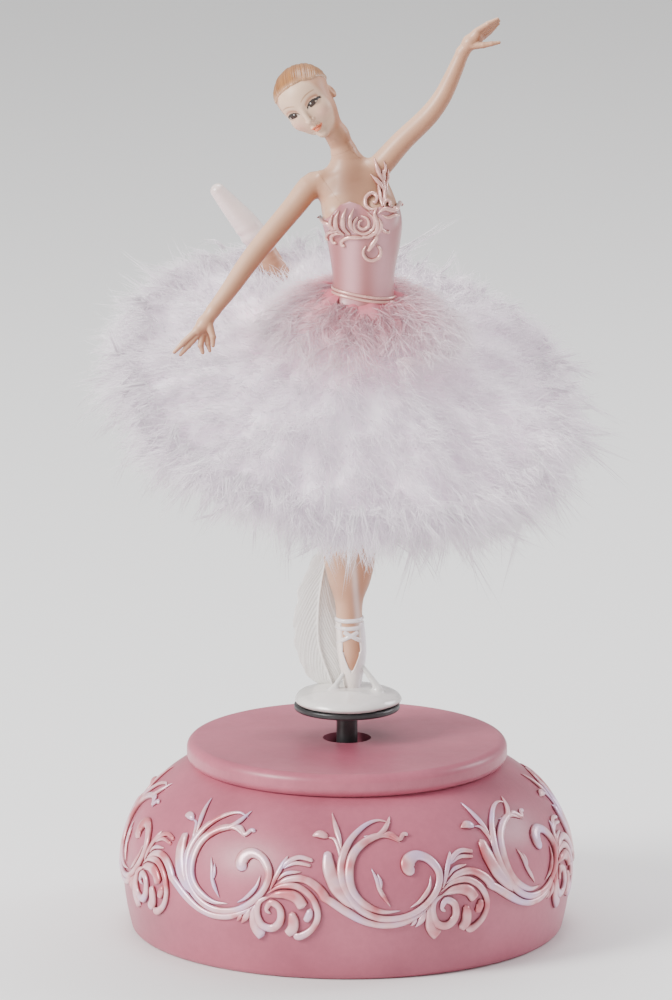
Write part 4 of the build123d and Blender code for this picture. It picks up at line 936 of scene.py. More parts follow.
def face_colours(points, normals):
    """Skin with painted eyes, brows, lips and a blush."""
    q = to_head(points)
    x, forward, up = np.abs(q[:, 0]), q[:, 1], q[:, 2]
    front = np.clip((forward - 3.0) / 1.0, 0, 1)
    ivory = 0.6 * front * np.clip((up + 10.5) / 3.0, 0, 1)
    colours = tinted(skin_colours(points, normals), (0.84, 0.62, 0.46), ivory)
    blush = np.exp(-((x - 3.6) ** 2 + (up + 2.8) ** 2) / 3.2) * front
    colours = tinted(colours, (0.80, 0.40, 0.32), 0.45 * blush)
    e = (x - 2.85) / 1.75
    lid = 0.1 + 0.85 * (1 - e * e) + 0.2 * e
    floor = 0.0 - 0.3 * (1 - e * e) + 0.2 * e
    shadow = band(e, up, lid + 0.72, 0.38, -0.95, 1.15, 0.6)
    colours = tinted(colours, (0.42, 0.17, 0.09), front * 0.8 * shadow)
    opening = np.clip((lid - up) / 0.05, 0, 1) * np.clip((up - floor) / 0.05, 0, 1)
    opening = opening * (np.abs(e) < 0.97) * front
    colours = tinted(colours, (0.55, 0.42, 0.34), opening)
    iris = np.clip((0.98 - np.hypot(x - 2.85, up - 0.35)) / 0.05, 0, 1) * opening
    colours = tinted(colours, (0.035, 0.014, 0.008), iris)
    colours = tinted(colours, LASH, front * band(e, up, lid, 0.22 + 0.08 * np.clip(e, 0, 1), -1.0, 1.3))
    colours = tinted(colours, LASH, 0.8 * front * band(e, up, floor, 0.075, -0.4, 1.1))
    glint = np.clip((0.16 - np.hypot(x - 2.6, up - 0.62)) / 0.04, 0, 1) * front
    colours = tinted(colours, (0.95, 0.95, 0.95), glint)
    b = (x - 2.75) / 2.0
    brow = 2.3 + 0.6 * (1 - b * b) + 0.15 * b
    thickness = 0.14 * (1.1 - 0.5 * np.abs(b))
    colours = tinted(colours, BROW, 0.7 * front * band(b, up, brow, thickness, -0.95, 1.1, 0.14))
    half = 1.6 * (1 - 0.12 * np.abs(up + 5.2))
    upper = -4.4 - 0.4 * (x / 1.6) ** 2 - 0.18 * np.exp(-((x / 0.28) ** 2))
    lower = -6.05 + 0.8 * (x / 1.6) ** 2
    lips = np.clip((upper - up) / 0.08, 0, 1) * np.clip((up - lower) / 0.08, 0, 1) * (x < half) * front
    colours = tinted(colours, LIP, lips * 0.92)
    parting = band(x, up, -5.16 - 0.1 * np.cos(x * 3.0), 0.06, -0.1, 1.5, 0.06) * front
    return tinted(colours, (0.22, 0.05, 0.035), 0.8 * parting)


BUN = (0.0, -8.6, 2.4)
HAIRLINE = (0.0, -0.61, 0.79)
HAIRLINE_AT = 2.2
LOCKS = 84


def hair_phase(q):
    """The combing's angle about the line from the forehead to the bun."""
    axis = unit(np.array((0.0, -8.3, 2.6)))
    side = np.array((1.0, 0, 0))
    up = np.cross(axis, side)
    lean = q - np.array((0, 0.5, 0.5), np.float32)
    return np.arctan2(lean @ side, lean @ up)


def hair_field(p):
    """The combed cap of hair behind the hairline, and the bun."""
    q = to_head(p)
    skull = ball(q, SKULL, SKULL_RADII)
    phase = hair_phase(q)
    cap = skull - 0.36 - 0.03 * np.cos(LOCKS * phase)
    cap = cap - 0.05 * np.cos(17 * phase + 1.0) - 0.04 * np.cos(29 * phase)
    line = HAIRLINE_AT - q @ np.array(HAIRLINE, np.float32)
    temple = 0.5 * np.exp(-((np.abs(q[:, 0]) - 5.6) ** 2 + (q[:, 1] - 2.8) ** 2) / 2.0)
    cap = smooth_max(cap, line - temple, 0.8)
    twist = q - np.array(BUN, np.float32)
    turn = np.arctan2(twist[:, 0], twist[:, 2])
    swirl = 0.16 * np.cos(5 * turn + 2.4 * np.linalg.norm(twist, axis=1))
    bun = ball(q, BUN, (3.4, 2.9, 3.4)) - swirl
    return smooth_min(cap, bun, 0.5)


def head():
    """The head with its painted face, and the combed hair with a bun."""
    skin = painted("face_paint", (0.44, 0.56), coat=0.06)
    centre = np.array(HEAD_CENTRE)
    low = np.minimum(centre - 10.8, (-21, -10, 192.0))
    high = np.maximum(centre + 10.8, (3, 8, 218))
    field_piece("head_skin", head_field, low, high, 0.125, skin, face_colours, ["head"])

    def locks(points, normals):
        q = to_head(points)
        phase = hair_phase(q)
        # Darker in the grooves between the combed ridges as painted shade, with dark streaks that wander
        # across them.
        groove_shade = 0.5 - 0.25 * np.cos(LOCKS * phase) - 0.25 * np.cos(29 * phase + 2 * np.sin(11 * phase))
        tone = tinted(plain(HAIR, points), HAIR_DARK, 0.1 + 0.7 * groove_shade**2)
        near = np.clip((q @ np.array(HAIRLINE, np.float32) - HAIRLINE_AT) / 1.6, 0, 1)
        return tinted(tone, SKIN_PALE, 0.35 * (1 - near))

    gloss = painted("blond_hair", (0.32, 0.46), coat=0.25, grain=0.02)
    low, high = centre - 14, centre + 14
    field_piece("combed_hair", hair_field, low, high, 0.16, gloss, locks, ["hair"])


# ---------------------------------------------------------------- legs, shoes, plume and plinth

STANDING_LEG = (
    (1.3, -0.3, 64.0, 2.7, 2.8),
    (1.2, -0.5, 68.0, 3.1, 3.4),
    (1.0, -0.2, 72.0, 3.3, 3.6),
    (0.6, 0.0, 77.0, 3.2, 3.5),
    (0.5, 0.3, 82.0, 3.5, 3.9),
    (0.6, 0.7, 87.0, 5.2, 5.1),
    (0.6, 0.9, 93.0, 6.3, 5.8),
    (0.5, 0.6, 100.0, 5.7, 5.5),
    (0.8, -0.2, 107.0, 4.7, 5.0),
    (1.2, -0.3, 115.0, 5.4, 5.8),
    (1.8, -0.2, 126.0, 6.6, 6.8),
    (2.6, 0.0, 141.0, 7.6, 7.4),
    (3.2, 0.0, 148.0, 8.4, 7.4),
)
SHOE = (
    (1.3, -0.2, 59.8, 1.9, 2.1),
    (1.3, -0.3, 62.0, 2.45, 2.6),
    (1.3, -0.4, 65.0, 3.0, 3.2),
    (1.2, -0.5, 69.0, 3.6, 3.9),
    (1.0, -0.2, 73.0, 3.65, 4.0),
    (0.6, 0.0, 77.5, 3.5, 3.8),
)
RAISED_LEG = (
    (-0.5, 5.0, 146.0, 6.4),
    (-4.0, 18.0, 143.5, 6.2),
    (-9.5, 32.0, 141.0, 4.8),
    (-13.5, 37.5, 144.0, 4.6),
    (-16.5, 38.2, 152.0, 4.4),
    (-20.8, 37.0, 163.2, 2.7),
)
RAISED_SHOE = (
    (-20.2, 37.2, 161.6, 2.9),
    (-22.6, 37.0, 165.6, 3.3),
    (-25.4, 37.4, 169.4, 3.1),
    (-28.8, 37.8, 173.4, 2.5),
    (-31.8, 38.0, 177.0, 1.9),
)
# The ankle ribbons: start and end height, and start and end angle.
RIBBONS = (
    (69.4, 74.8, -150, 30),
    (69.4, 74.8, 150, -30),
    (75.4, 76.0, -180, 180),
    (77.4, 77.8, -180, 180),
)
VAMP_LOW = 64.6
VAMP_HIGH = 77.0


def shoe_field(p):
    """The pointe shoe: open over the instep in a V, closed round the heel, on a small flat toe."""
    body = loft(p, SHOE, 0.5)
    front = np.clip(-(p[:, 1] + 0.2) / 3.2, 0, 1)
    reach = np.abs(p[:, 0] - 1.1)
    vamp = VAMP_LOW + 2.2 * reach**1.15 + 30 * (1 - front)
    vamp = np.minimum(vamp, VAMP_HIGH)
    return smooth_max(body, p[:, 2] - vamp, 0.4)


def standing_leg(skin):
    """The standing leg, with its shoe and ribbons."""

    def leg(p):
        return smooth_max(loft(p, STANDING_LEG, 1.0), p[:, 2] - 147.0, 0.5)

    def shade(points, normals):
        # Skin with painted light, plus a warm painted highlight on the left-facing side about the knee and a
        # pale painted highlight stripe down the front of the shin.
        base = skin_colours(points, normals)
        warm_highlight = np.exp(-(((points[:, 2] - 104.0) / 9.0) ** 2)) * np.clip(-normals[:, 0] + 0.4, 0, 1)
        highlight_stripe = np.exp(-(((points[:, 0] - 1.0 - 0.075 * (100.0 - points[:, 2])) / 0.75) ** 2))
        highlight_stripe = highlight_stripe * np.clip((102 - points[:, 2]) / 4, 0, 1) * np.clip((points[:, 2] - 72) / 3, 0, 1)
        base = tinted(base, (0.66, 0.36, 0.22), 0.5 * warm_highlight)
        return tinted(base, (0.88, 0.74, 0.70), 0.55 * highlight_stripe * (normals[:, 1] < 0))

    def white(points, normals):
        return tinted(plain(PEARL, points), PEARL_SHADE, 0.6 * np.clip(normals[:, 0], 0, 1))

    low, high = (-9, -9, 62), (13, 9, 149)
    field_piece("standing_leg_skin", leg, low, high, 0.24, skin, shade, ["standing_leg"])
    satin = painted("pearl_shoe", (0.16, 0.26), coat=0.8, coat_roughness=0.12)
    low, high = (-4, -6, 58.5), (7, 6, 79)
    field_piece("pointe_shoe", shoe_field, low, high, 0.13, satin, white, ["standing_shoe"])
    ribbons = []
    for low, high, first, last in RIBBONS:
        turn = np.radians(np.linspace(first, last, 60)) - math.pi / 2
        height = np.linspace(low, high, 60)
        away = np.stack([np.cos(turn), np.sin(turn), np.zeros(60)], 1)
        start = np.stack([1.0 + 9 * away[:, 0], -0.3 + 9 * away[:, 1], height], 1)
        places, ups = drawn_in(leg, start, away)
        ribbons.append(moulding(places, ups, np.full(60, 0.55), np.full(60, 0.42), np.full(60, 0.3)))
    points, quads = joined([r[:2] for r in ribbons])
    colours = plain((0.86, 0.80, 0.80), points)
    new_piece("ankle_ribbons", points, quads, FIGURE, satin, colours)


def raised_leg(skin):
    """The leg lifted behind, with its shoe."""

    def leg(p):
        return limb(p, RAISED_LEG)

    def shoe(p):
        ribbon = 0.12 * np.cos(2 * math.pi * (p @ np.array((-0.55, 0.0, 0.83), np.float32)) / 2.6)
        return limb(p, RAISED_SHOE) - ribbon * np.clip((170 - p[:, 2]) / 4, 0, 1)

    def pink(points, normals):
        # Pearl tinted pink all over, more on the down-facing sides as painted shade.
        return tinted(plain(PEARL, points), PEARL_BLUSH_SHADE, 0.55 - 0.3 * normals[:, 2])

    low, high = (-25, -3, 134), (8, 46, 168)
    field_piece("raised_leg_skin", leg, low, high, 0.35, skin, skin_colours, ["raised_leg"])
    pearl = painted("raised_shoe_paint", (0.2, 0.32), coat=0.6, coat_roughness=0.18)
    low, high = (-36, 32, 156), (-15, 43, 181)
    field_piece("raised_pointe_shoe", shoe, low, high, 0.18, pearl, pink, ["raised_shoe"])


PLUME_SPINE = ((-3.6, 3.0, 98.0), (-5.6, 3.6, 90.0), (-7.0, 4.2, 80.0), (-6.8, 4.4, 70.0), (-3.6, 4.2, 60.2))
PLUME_WIDTHS = (1.0, 3.2, 4.6, 5.2, 5.0, 3.6)
PLUME_WHITE = (0.86, 0.84, 0.80)
PLUME_SHADE = (0.62, 0.58, 0.58)
QUILL_WHITE = (0.9, 0.88, 0.84)
QUILL_OUT = 1.45


def plume():
    """The upright feather that props the leg: a curved vane of combed barbs on a quill."""
    spine = smooth_curve(PLUME_SPINE, 0.3)
    count = len(spine)
    tangent = unit(np.gradient(spine, axis=0))
    facing = np.tile((0.0, -1.0, 0.0), (count, 1))
    side = unit(np.cross(tangent, facing))
    half = spread(PLUME_WIDTHS, count) * tapered(count, True, False)
    across = 61
    v = np.linspace(-1, 1, across)
    rows, cols = np.meshgrid(np.arange(count), np.arange(across), indexing="ij")
    t, w = rows / (count - 1), v[cols]
    comb = t * 20 - 7.5 * np.abs(w) ** 1.2
    ridge = np.abs(np.sin(math.pi * comb)) ** 0.8
    wave = 0.025 * np.sin(math.pi * comb) + 0.03 * np.sin(0.6 * math.pi * comb + 1)
    edge = np.where(w < 0, 0.95, 1.15) * (1 + wave)
    curl = 1.1 * np.sin(3.4 * t + 0.6)
    place = spine[:, None] + side[:, None] * (half[:, None] * w * edge)[:, :, None]
    bulge = (1 - w * w) * 0.9 + 0.22 * ridge * (1 - w**4) + curl * np.sign(w) * np.abs(w) ** 2 * 0.7
    thick = 0.5 + 0.9 * np.sqrt(np.clip(1 - w * w, 0, 1)) * np.clip(half / 3, 0, 1)[:, None]
    front = place + facing[:, None] * bulge[:, :, None]
    back = place + facing[:, None] * (bulge - thick * 1.6)[:, :, None]
    points = np.vstack([front.reshape(-1, 3), back.reshape(-1, 3)])
    size = count * across
    index = np.arange(size).reshape(count, across)
    a, b, c, d = index[:-1, :-1], index[:-1, 1:], index[1:, 1:], index[1:, :-1]
    face = np.stack([a, b, c, d], -1).reshape(-1, 4)
    rim = np.concatenate([index[0, :], index[1:, -1], index[-1, -2::-1], index[-2:0:-1, 0]])
    nxt = np.roll(rim, -1)
    wall = np.stack([rim, rim + size, nxt + size, nxt], 1)
    quads = np.vstack([face[:, ::-1], face + size, wall[:, ::-1]])
    shade = 0.55 * (1 - np.tile(ridge.ravel(), 2))
    vane = points, quads, tinted(plain(PLUME_WHITE, points), PLUME_SHADE, shade)
    width = 0.32 * tapered(count, True, False)
    quill_line = spine + facing * QUILL_OUT
    points, quads = moulding(quill_line, facing, width, np.full(count, 0.4), np.full(count, 0.5))[:2]
    points, quads, colours = joined([vane, (points, quads, plain(QUILL_WHITE, points))])
    glazed = painted("plume_glaze", (0.22, 0.34), coat=0.6, coat_roughness=0.18)
    new_piece("plume", points, quads, FIGURE, glazed, colours, ["plume_support"])


PLINTH_CREAM = (0.83, 0.82, 0.78)
PLINTH_SHADE = (0.55, 0.50, 0.50)


def plinth():
    """The lens-shaped foot of the figure, with folds of drapery running over it."""

    def field(p):
        r = np.hypot(p[:, 0] - 0.1, p[:, 1])
        angle = np.arctan2(p[:, 1], p[:, 0])
        rim = 13.3 + 0.2 * np.sin(3 * angle + 0.6) + 0.15 * np.sin(5 * angle + 2.0)
        top = 60.6 - 2.4 * np.clip(r / rim, 0, 1) ** 2.6
        fold = np.exp(-(((p[:, 1] + 6.4 + 0.16 * p[:, 0]) / 1.4) ** 2))
        top = top + 0.5 * fold * np.clip(1.1 - r / 13, 0, 1)
        dish = np.maximum(56.35 - p[:, 2], (p[:, 2] - top) * 0.95)
        out = smooth_max(dish, r - rim, 1.8)
        right = cone(p, (3.4, -2.0, 66.5), (7.8, -3.2, 60.6), 0.5, 0.9)
        left = cone(p, (-1.0, -2.4, 64.0), (-3.4, -3.6, 60.6), 0.5, 0.7)
        return smooth_min(out, smooth_min(right, left, 0.4), 1.8)

    def cream(points, normals):
        return tinted(plain(PLINTH_CREAM, points), PLINTH_SHADE, 0.5 * np.clip(0.6 - normals[:, 2], 0, 1))

    glazed = painted("plinth_glaze", (0.18, 0.3), coat=0.6, coat_roughness=0.16)
    low, high = (-15, -15, 55.6), (15, 15, 67)
    field_piece("plinth_cloud", field, low, high, 0.16, glazed, cream, ["plinth"])


# ---------------------------------------------------------------- bodice trim

TRIM_WIDTH = 1.3
LAY_FROM_Y = -16.0
LAY_UNTIL_Y = 3.0

# Each stroke on the bodice's front: half-widths, and points (x, z). They are laid on from the front.
TRIM_STROKES = (
    # the rosette, and the S stem round it
    ((0.3, 0.36, 0.3),
     ((4.9, 180.6), (6.6, 178.8), (6.2, 176.4), (4.2, 175.1), (2.2, 175.9), (1.5, 177.8), (2.6, 179.4))),
    ((0.3, 0.36, 0.25),
     ((3.2, 179.6), (5.0, 178.9), (5.2, 177.2), (4.0, 176.3), (2.8, 177.0), (3.0, 178.2), (3.9, 178.5))),
    ((0.35, 0.5, 0.5, 0.35),
     ((7.4, 181.8), (6.7, 180.2), (7.3, 178.0), (7.0, 175.8), (5.2, 174.4), (3.6, 174.4))),
    # the volute above it
    ((0.3, 0.42, 0.42, 0.3),
     ((7.2, 181.6), (6.0, 181.2), (4.6, 182.0), (4.6, 183.8), (6.0, 184.7),
      (7.2, 183.9), (6.9, 182.8), (6.1, 182.9))),
    # ribs of the shell leaf over the right cup
    ((0.25, 0.5, 0.3), ((1.6, 181.4), (0.7, 179.2), (0.8, 177.0), (2.4, 175.2))),
    ((0.25, 0.55, 0.3), ((-0.2, 181.6), (-1.0, 179.4), (-0.9, 176.8), (0.8, 174.8))),
    ((0.25, 0.55, 0.3), ((-1.9, 181.0), (-2.7, 179.0), (-2.5, 176.6), (-0.6, 174.6))),
    ((0.25, 0.45, 0.25), ((-3.4, 180.0), (-4.0, 178.2), (-3.8, 176.4), (-2.2, 174.8))),
    # curls under it
    ((0.25, 0.5, 0.45, 0.4),
     ((5.0, 174.0), (2.4, 174.2), (0.2, 174.0), (-1.2, 173.0), (-1.0, 171.9), (-0.3, 172.1))),
    ((0.25, 0.45, 0.35), ((-0.8, 174.8), (-2.6, 175.0), (-3.6, 173.8), (-3.2, 172.4), (-2.4, 172.5))),
    ((0.25, 0.4, 0.35), ((-2.0, 175.8), (-3.9, 175.2), (-4.8, 173.6), (-4.4, 172.5))),
    # the band at the armpit
    ((0.3, 0.5, 0.4), ((-7.2, 177.0), (-5.6, 177.6), (-4.2, 177.3), (-2.9, 176.0))),
    # the right cup's scroll
    ((0.25, 0.45, 0.5, 0.4), ((7.4, 180.2), (9.0, 181.3), (10.8, 180.8), (12.4, 181.0), (13.4, 179.9))),
    ((0.25, 0.4, 0.35), ((8.4, 180.0), (9.8, 179.2), (11.4, 179.6), (12.4, 179.2))),
    ((0.2, 0.38, 0.38, 0.25), ((9.2, 181.5), (8.9, 182.5), (9.6, 183.1), (10.3, 182.5), (10.1, 181.8))),
    ((0.2, 0.38, 0.3), ((10.8, 180.9), (11.4, 181.3), (12.0, 180.8))),
    # stems and beads at the middle
    ((0.25, 0.42, 0.3), ((7.6, 179.4), (8.2, 177.6), (7.8, 175.8), (6.8, 174.2))),
    ((0.2, 0.36, 0.4), ((7.9, 177.0), (9.0, 175.6), (10.2, 175.2))),
    ((0.25, 0.45, 0.5, 0.35), ((7.2, 176.0), (7.0, 174.0), (6.0, 172.2), (5.0, 170.6))),
    # the ring that hangs from it
    ((0.3, 0.42, 0.42, 0.3),
     ((4.6, 172.2), (3.9, 170.6), (4.5, 169.0), (6.0, 168.3), (7.6, 169.0), (8.1, 170.6), (7.3, 172.2))),
)
# The strap's leaves, which lie on the skin of the left shoulder.
STRAP_STROKES = (
    ((0.2, 0.5, 0.3), ((6.6, 192.6), (7.2, 190.8), (7.8, 188.8), (8.6, 186.8))),
    ((0.2, 0.5, 0.25), ((5.6, 189.0), (6.6, 188.0), (8.0, 186.4), (9.0, 184.6))),
    ((0.25, 0.45, 0.45, 0.3),
     ((8.9, 192.2), (9.3, 190.4), (8.6, 188.6), (8.7, 186.2), (9.0, 184.0), (8.9, 182.0))),
    ((0.2, 0.42, 0.3), ((9.9, 190.2), (9.8, 188.4), (9.4, 186.4), (9.3, 184.8))),
    ((0.2, 0.4, 0.25), ((7.4, 186.8), (7.8, 184.8), (8.2, 183.2), (8.6, 181.8))),
    ((0.2, 0.36, 0.2), ((8.4, 190.2), (8.9, 188.4), (8.8, 186.6))),
)


def laid_on(field, places):
    """Points and normals where lines along +Y from the front meet a field."""
    p = np.stack([places[:, 0], np.full(len(places), LAY_FROM_Y), places[:, 1]], 1).astype(np.float32)
    for _ in range(60):
        p[:, 1] += np.clip(field(p), -0.4, 2.0) * 0.8
        p[:, 1] = np.minimum(p[:, 1], LAY_UNTIL_Y)
    return p, unit(gradient(field, p))


def drawn_in(field, start, away):
    """Points moved in along horizontal lines until they meet a field, and the normals there."""
    p = start.astype(np.float32)
    for _ in range(14):
        p = p - away.astype(np.float32) * field(p)[:, None] * 0.9
    return p, unit(gradient(field, p))


WAIST_CORD_Z = 159.3
WAIST_CORDS = (0.0, 0.95)
# The rose gold's dark colour at the foot of each stroke is painted shade; its pale colour on the crests is a
# painted highlight.
GOLD_EDGE_SHADE = np.array((0.26, 0.05, 0.035))
GOLD_CREST_HIGHLIGHT = np.array((0.80, 0.45, 0.40))


def bodice_trim():
    """Raised leaves, scrolls and a strap of rose-gold paint over the bodice and the left shoulder."""

    def ground(p):
        return np.minimum(trunk(p) - BODICE_THICKNESS, shoulders(p))

    parts = []
    for widths, points in TRIM_STROKES + STRAP_STROKES:
        path = smooth_curve(points, 0.2)
        centres, ups = laid_on(ground, path)
        close = tapered(len(path), True, False)
        half = TRIM_WIDTH * spread(widths, len(path)) * close
        parts.append(moulding(centres, ups, half, 0.25 + 0.8 * half, np.full(len(path), 0.4)))
    turn = np.linspace(0, 2 * math.pi, 121)
    away = np.stack([np.cos(turn), np.sin(turn), np.zeros(121)], 1)
    for drop in WAIST_CORDS:
        height = WAIST_CORD_Z - drop - 1.1 * away[:, 0]
        start = np.stack([3.8 + 9 * away[:, 0], 9 * away[:, 1], height], 1)
        places, ups = drawn_in(ground, start, away)
        parts.append(moulding(places, ups, np.full(121, 0.42), np.full(121, 0.4), np.full(121, 0.3)))
    points, quads, crest = joined(parts)
    # Rose gold darkest at the foot of each stroke as painted shade, and palest on its crest as a painted
    # highlight.
    colours = GOLD_EDGE_SHADE + (GOLD_CREST_HIGHLIGHT - GOLD_EDGE_SHADE) * np.clip(crest * 1.5 - 0.1, 0, 1)
    gold = painted("rose_gold_trim", (0.2, 0.32), coat=0.6, coat_roughness=0.18, metallic=0.25)
    new_piece("bodice_scrolls", points, quads, FIGURE, gold, colours, ["bodice_trim"])


# ---------------------------------------------------------------- the feather skirt


def skirt_axes():
    """The disc's own directions: to its right, to its back, and up from it."""
    roll, tilt = math.radians(SKIRT_ROLL), math.radians(SKIRT_TILT)
    up = unit(np.array((math.sin(roll), -math.sin(tilt), math.cos(tilt))))
    right = unit(np.cross((0.0, 1.0, 0.0), up))
    return right, np.cross(up, right), up


def skirt_heights(rho, theta):
    """Height of the down's top and underside above the disc, by distance from its axis and by angle."""
    share = rho / SKIRT_R
    lump = 1.3 * np.sin(7 * theta + 1.0 + 2.2 * share) + 0.9 * np.sin(13 * theta + 12 * share)
    lump = (lump + 0.6 * np.sin(23 * theta - 5 * share)) * np.clip(share * 1.6, 0, 1)
    top = 17.5 * np.exp(-((share / 0.30) ** 1.5)) + 6.2 * (1 - share**3.0) - 1.0 + lump
    bottom = -6.4 * (1 - share**4.0) - 0.6 + 0.8 * lump
    return top, bottom


def on_skirt(rho, theta, height):
    """Points of the skirt; heights lean towards the waist near the middle."""
    right, back, up = skirt_axes()
    centre = np.array(SKIRT_CENTRE)
    to_waist = unit(np.array(WAIST_CENTRE) - centre)
    share = np.clip(1.3 * np.asarray(rho) / SKIRT_R, 0, 1)[..., None]
    lift = unit(to_waist * (1 - share) + up * share)
    return (
        centre
        + np.asarray(rho * np.cos(theta))[..., None] * right
        + np.asarray(rho * np.sin(theta))[..., None] * back
        + np.asarray(height)[..., None] * lift
    )


DOWN_WHITE = np.array((1.0, 0.95, 0.99))
DOWN_LILAC = np.array((0.93, 0.74, 0.90))
DOWN_PINK = np.array((0.98, 0.58, 0.66))
DOWN_GLOW = 0.22
ROSE_GLOW = 0.12
DOWN_ROSE = np.array((0.64, 0.13, 0.18))


def down_colours(points, rng, jitter):
    """Dyed down: rose at the waist, through pink, to a white with lilac in its shade."""
    waist = np.linalg.norm((points - np.array(WAIST_CENTRE)) * np.array((0.85, 1.0, 1.15)), axis=1)
    waist = waist + rng.normal(0, 3.0, len(points))
    rose = np.clip(1.2 - waist / 15.0, 0, 1)
    pink = np.clip(1.5 - waist / 21.0, 0, 1)
    base = tinted(plain(DOWN_WHITE, points), DOWN_LILAC, 0.7 * np.clip(jitter, 0, 1))
    return tinted(tinted(base, DOWN_PINK, 0.8 * pink), DOWN_ROSE, 0.7 * rose)


def skirt_core(rng, down):
    """The thick of the down, one closed lumpy disc with a hole-free middle."""
    rings, turns = 90, 360
    theta = np.linspace(0, 2 * math.pi, turns, endpoint=False)
    share = np.linspace(0.06, 1, rings) ** 0.8
    rho, angle = np.meshgrid(share * (SKIRT_R - 3), theta, indexing="ij")
    ragged = 1 + 0.02 * np.sin(11 * angle) + 0.015 * np.sin(29 * angle + 2)
    top, bottom = skirt_heights(rho, angle)
    top_points = on_skirt(rho * ragged, angle, top - 1.2).reshape(-1, 3)
    bottom_points = on_skirt(rho * ragged, angle, bottom + 1.2).reshape(-1, 3)
    index = np.arange(rings * turns).reshape(rings, turns)
    nxt = np.roll(index, -1, axis=1)
    face = np.stack([index[:-1], index[1:], nxt[1:], nxt[:-1]], -1).reshape(-1, 4)
    size = rings * turns
    rim = np.stack([index[-1], index[-1] + size, nxt[-1] + size, nxt[-1]], -1)
    hub = np.stack([nxt[0], nxt[0] + size, index[0] + size, index[0]], -1)
    points = np.vstack([top_points, bottom_points])
    quads = np.vstack([face, face[:, ::-1] + size, rim, hub])
    jitter = 0.35 + 0.3 * rng.random(len(points))
    colours = down_colours(points, rng, jitter)
    new_piece("feather_core", points, quads, FIGURE, down, colours, ["feather_skirt"])


BARB_RINGS = (0.0, 0.4, 0.75)


def barbs(roots, directions, bends, lengths, radii, rng):
    """Closed three-sided tapering barbs; every array has one row a barb."""
    count = len(roots)
    helper = unit(rng.normal(size=(count, 3)))
    side = unit(np.cross(directions, helper))
    other = np.cross(directions, side)
    points = np.empty((count, 10, 3), np.float32)
    for ring, t in enumerate(BARB_RINGS):
        centre = roots + directions * (lengths * t)[:, None] + bends * (lengths * t * t)[:, None]
        radius = (radii * (1 - 0.75 * t))[:, None]
        for k in range(3):
            turn = 2 * math.pi * k / 3
            points[:, 3 * ring + k] = centre + (side * math.cos(turn) + other * math.sin(turn)) * radius
    points[:, 9] = roots + directions * lengths[:, None] + bends * lengths[:, None]
    faces = [(2, 1, 0)]
    for ring in range(2):
        for k in range(3):
            a, b = 3 * ring + k, 3 * ring + (k + 1) % 3
            faces += [(a, b, b + 3), (a, b + 3, a + 3)]
    faces += [(6 + k, 6 + (k + 1) % 3, 9) for k in range(3)]
    faces = np.array(faces)
    index = (np.arange(count)[:, None, None] * 10 + faces[None]).reshape(-1, 3)
    return points.reshape(-1, 3), index


TUFTS = 3300
BARBS_A_TUFT = 30
BARB_PIECES = 9


def skirt_tufts(rng, down):
    """Tufts of barbs all over the down, combed outwards and drooping, longest at the rim."""
    right, back, up = skirt_axes()
    above = rng.random(TUFTS) < 0.68
    share = np.sqrt(rng.uniform(0.015, 1.0, TUFTS))
    share = np.where(rng.random(TUFTS) < 0.22, rng.uniform(0.9, 1.0, TUFTS), share)
    theta = rng.uniform(0, 2 * math.pi, TUFTS)
    top, bottom = skirt_heights(share * SKIRT_R, theta)
    root = on_skirt(share * (SKIRT_R - 3), theta, np.where(above, top - 1.6, bottom + 1.6))
    outward = np.cos(theta)[:, None] * right + np.sin(theta)[:, None] * back
    around = np.cross(up, outward)
    rise = np.where(above, 0.55 - 0.35 * share, -0.75 + 0.55 * share)
    spin = rng.normal(0, 0.34, TUFTS)
    lean = outward + rise[:, None] * up + spin[:, None] * around
    lean = unit(lean + rng.normal(0, 0.18, (TUFTS, 3)))
    ragged = 1 + 0.22 * np.sin(13 * theta + 1) + 0.18 * np.sin(31 * theta) + 0.12 * np.sin(53 * theta + 2)
    length = (4.4 + 3.4 * share * ragged) * rng.uniform(0.7, 1.3, TUFTS)
    pick = np.repeat(np.arange(TUFTS), BARBS_A_TUFT)
    count = len(pick)
    roots = root[pick] + rng.normal(0, 1.15, (count, 3))
    direction = unit(lean[pick] + rng.normal(0, 0.2, (count, 3)))
    droop = np.array((0.0, 0.0, -1.0))
    bends = 0.30 * droop + rng.normal(0, 0.16, (count, 3)) + 0.2 * (direction - lean[pick])
    lengths = length[pick] * rng.uniform(0.55, 1.15, count)
    radii = rng.uniform(0.07, 0.14, count)
    tone = np.clip(rng.normal(0.25, 0.2, TUFTS)[pick] + rng.normal(0, 0.15, count), 0, 1)
    order = np.argsort(theta[pick], kind="stable")
    for number, part in enumerate(np.array_split(order, BARB_PIECES)):
        points, faces = barbs(roots[part], direction[part], bends[part], lengths[part], radii[part], rng)
        colours = down_colours(points, rng, np.repeat(tone[part], 10))
        new_piece(f"feather_down_{number + 1}", points, faces, FIGURE, down, colours)


SPIKES = 560
BARBS_A_SPIKE = 7


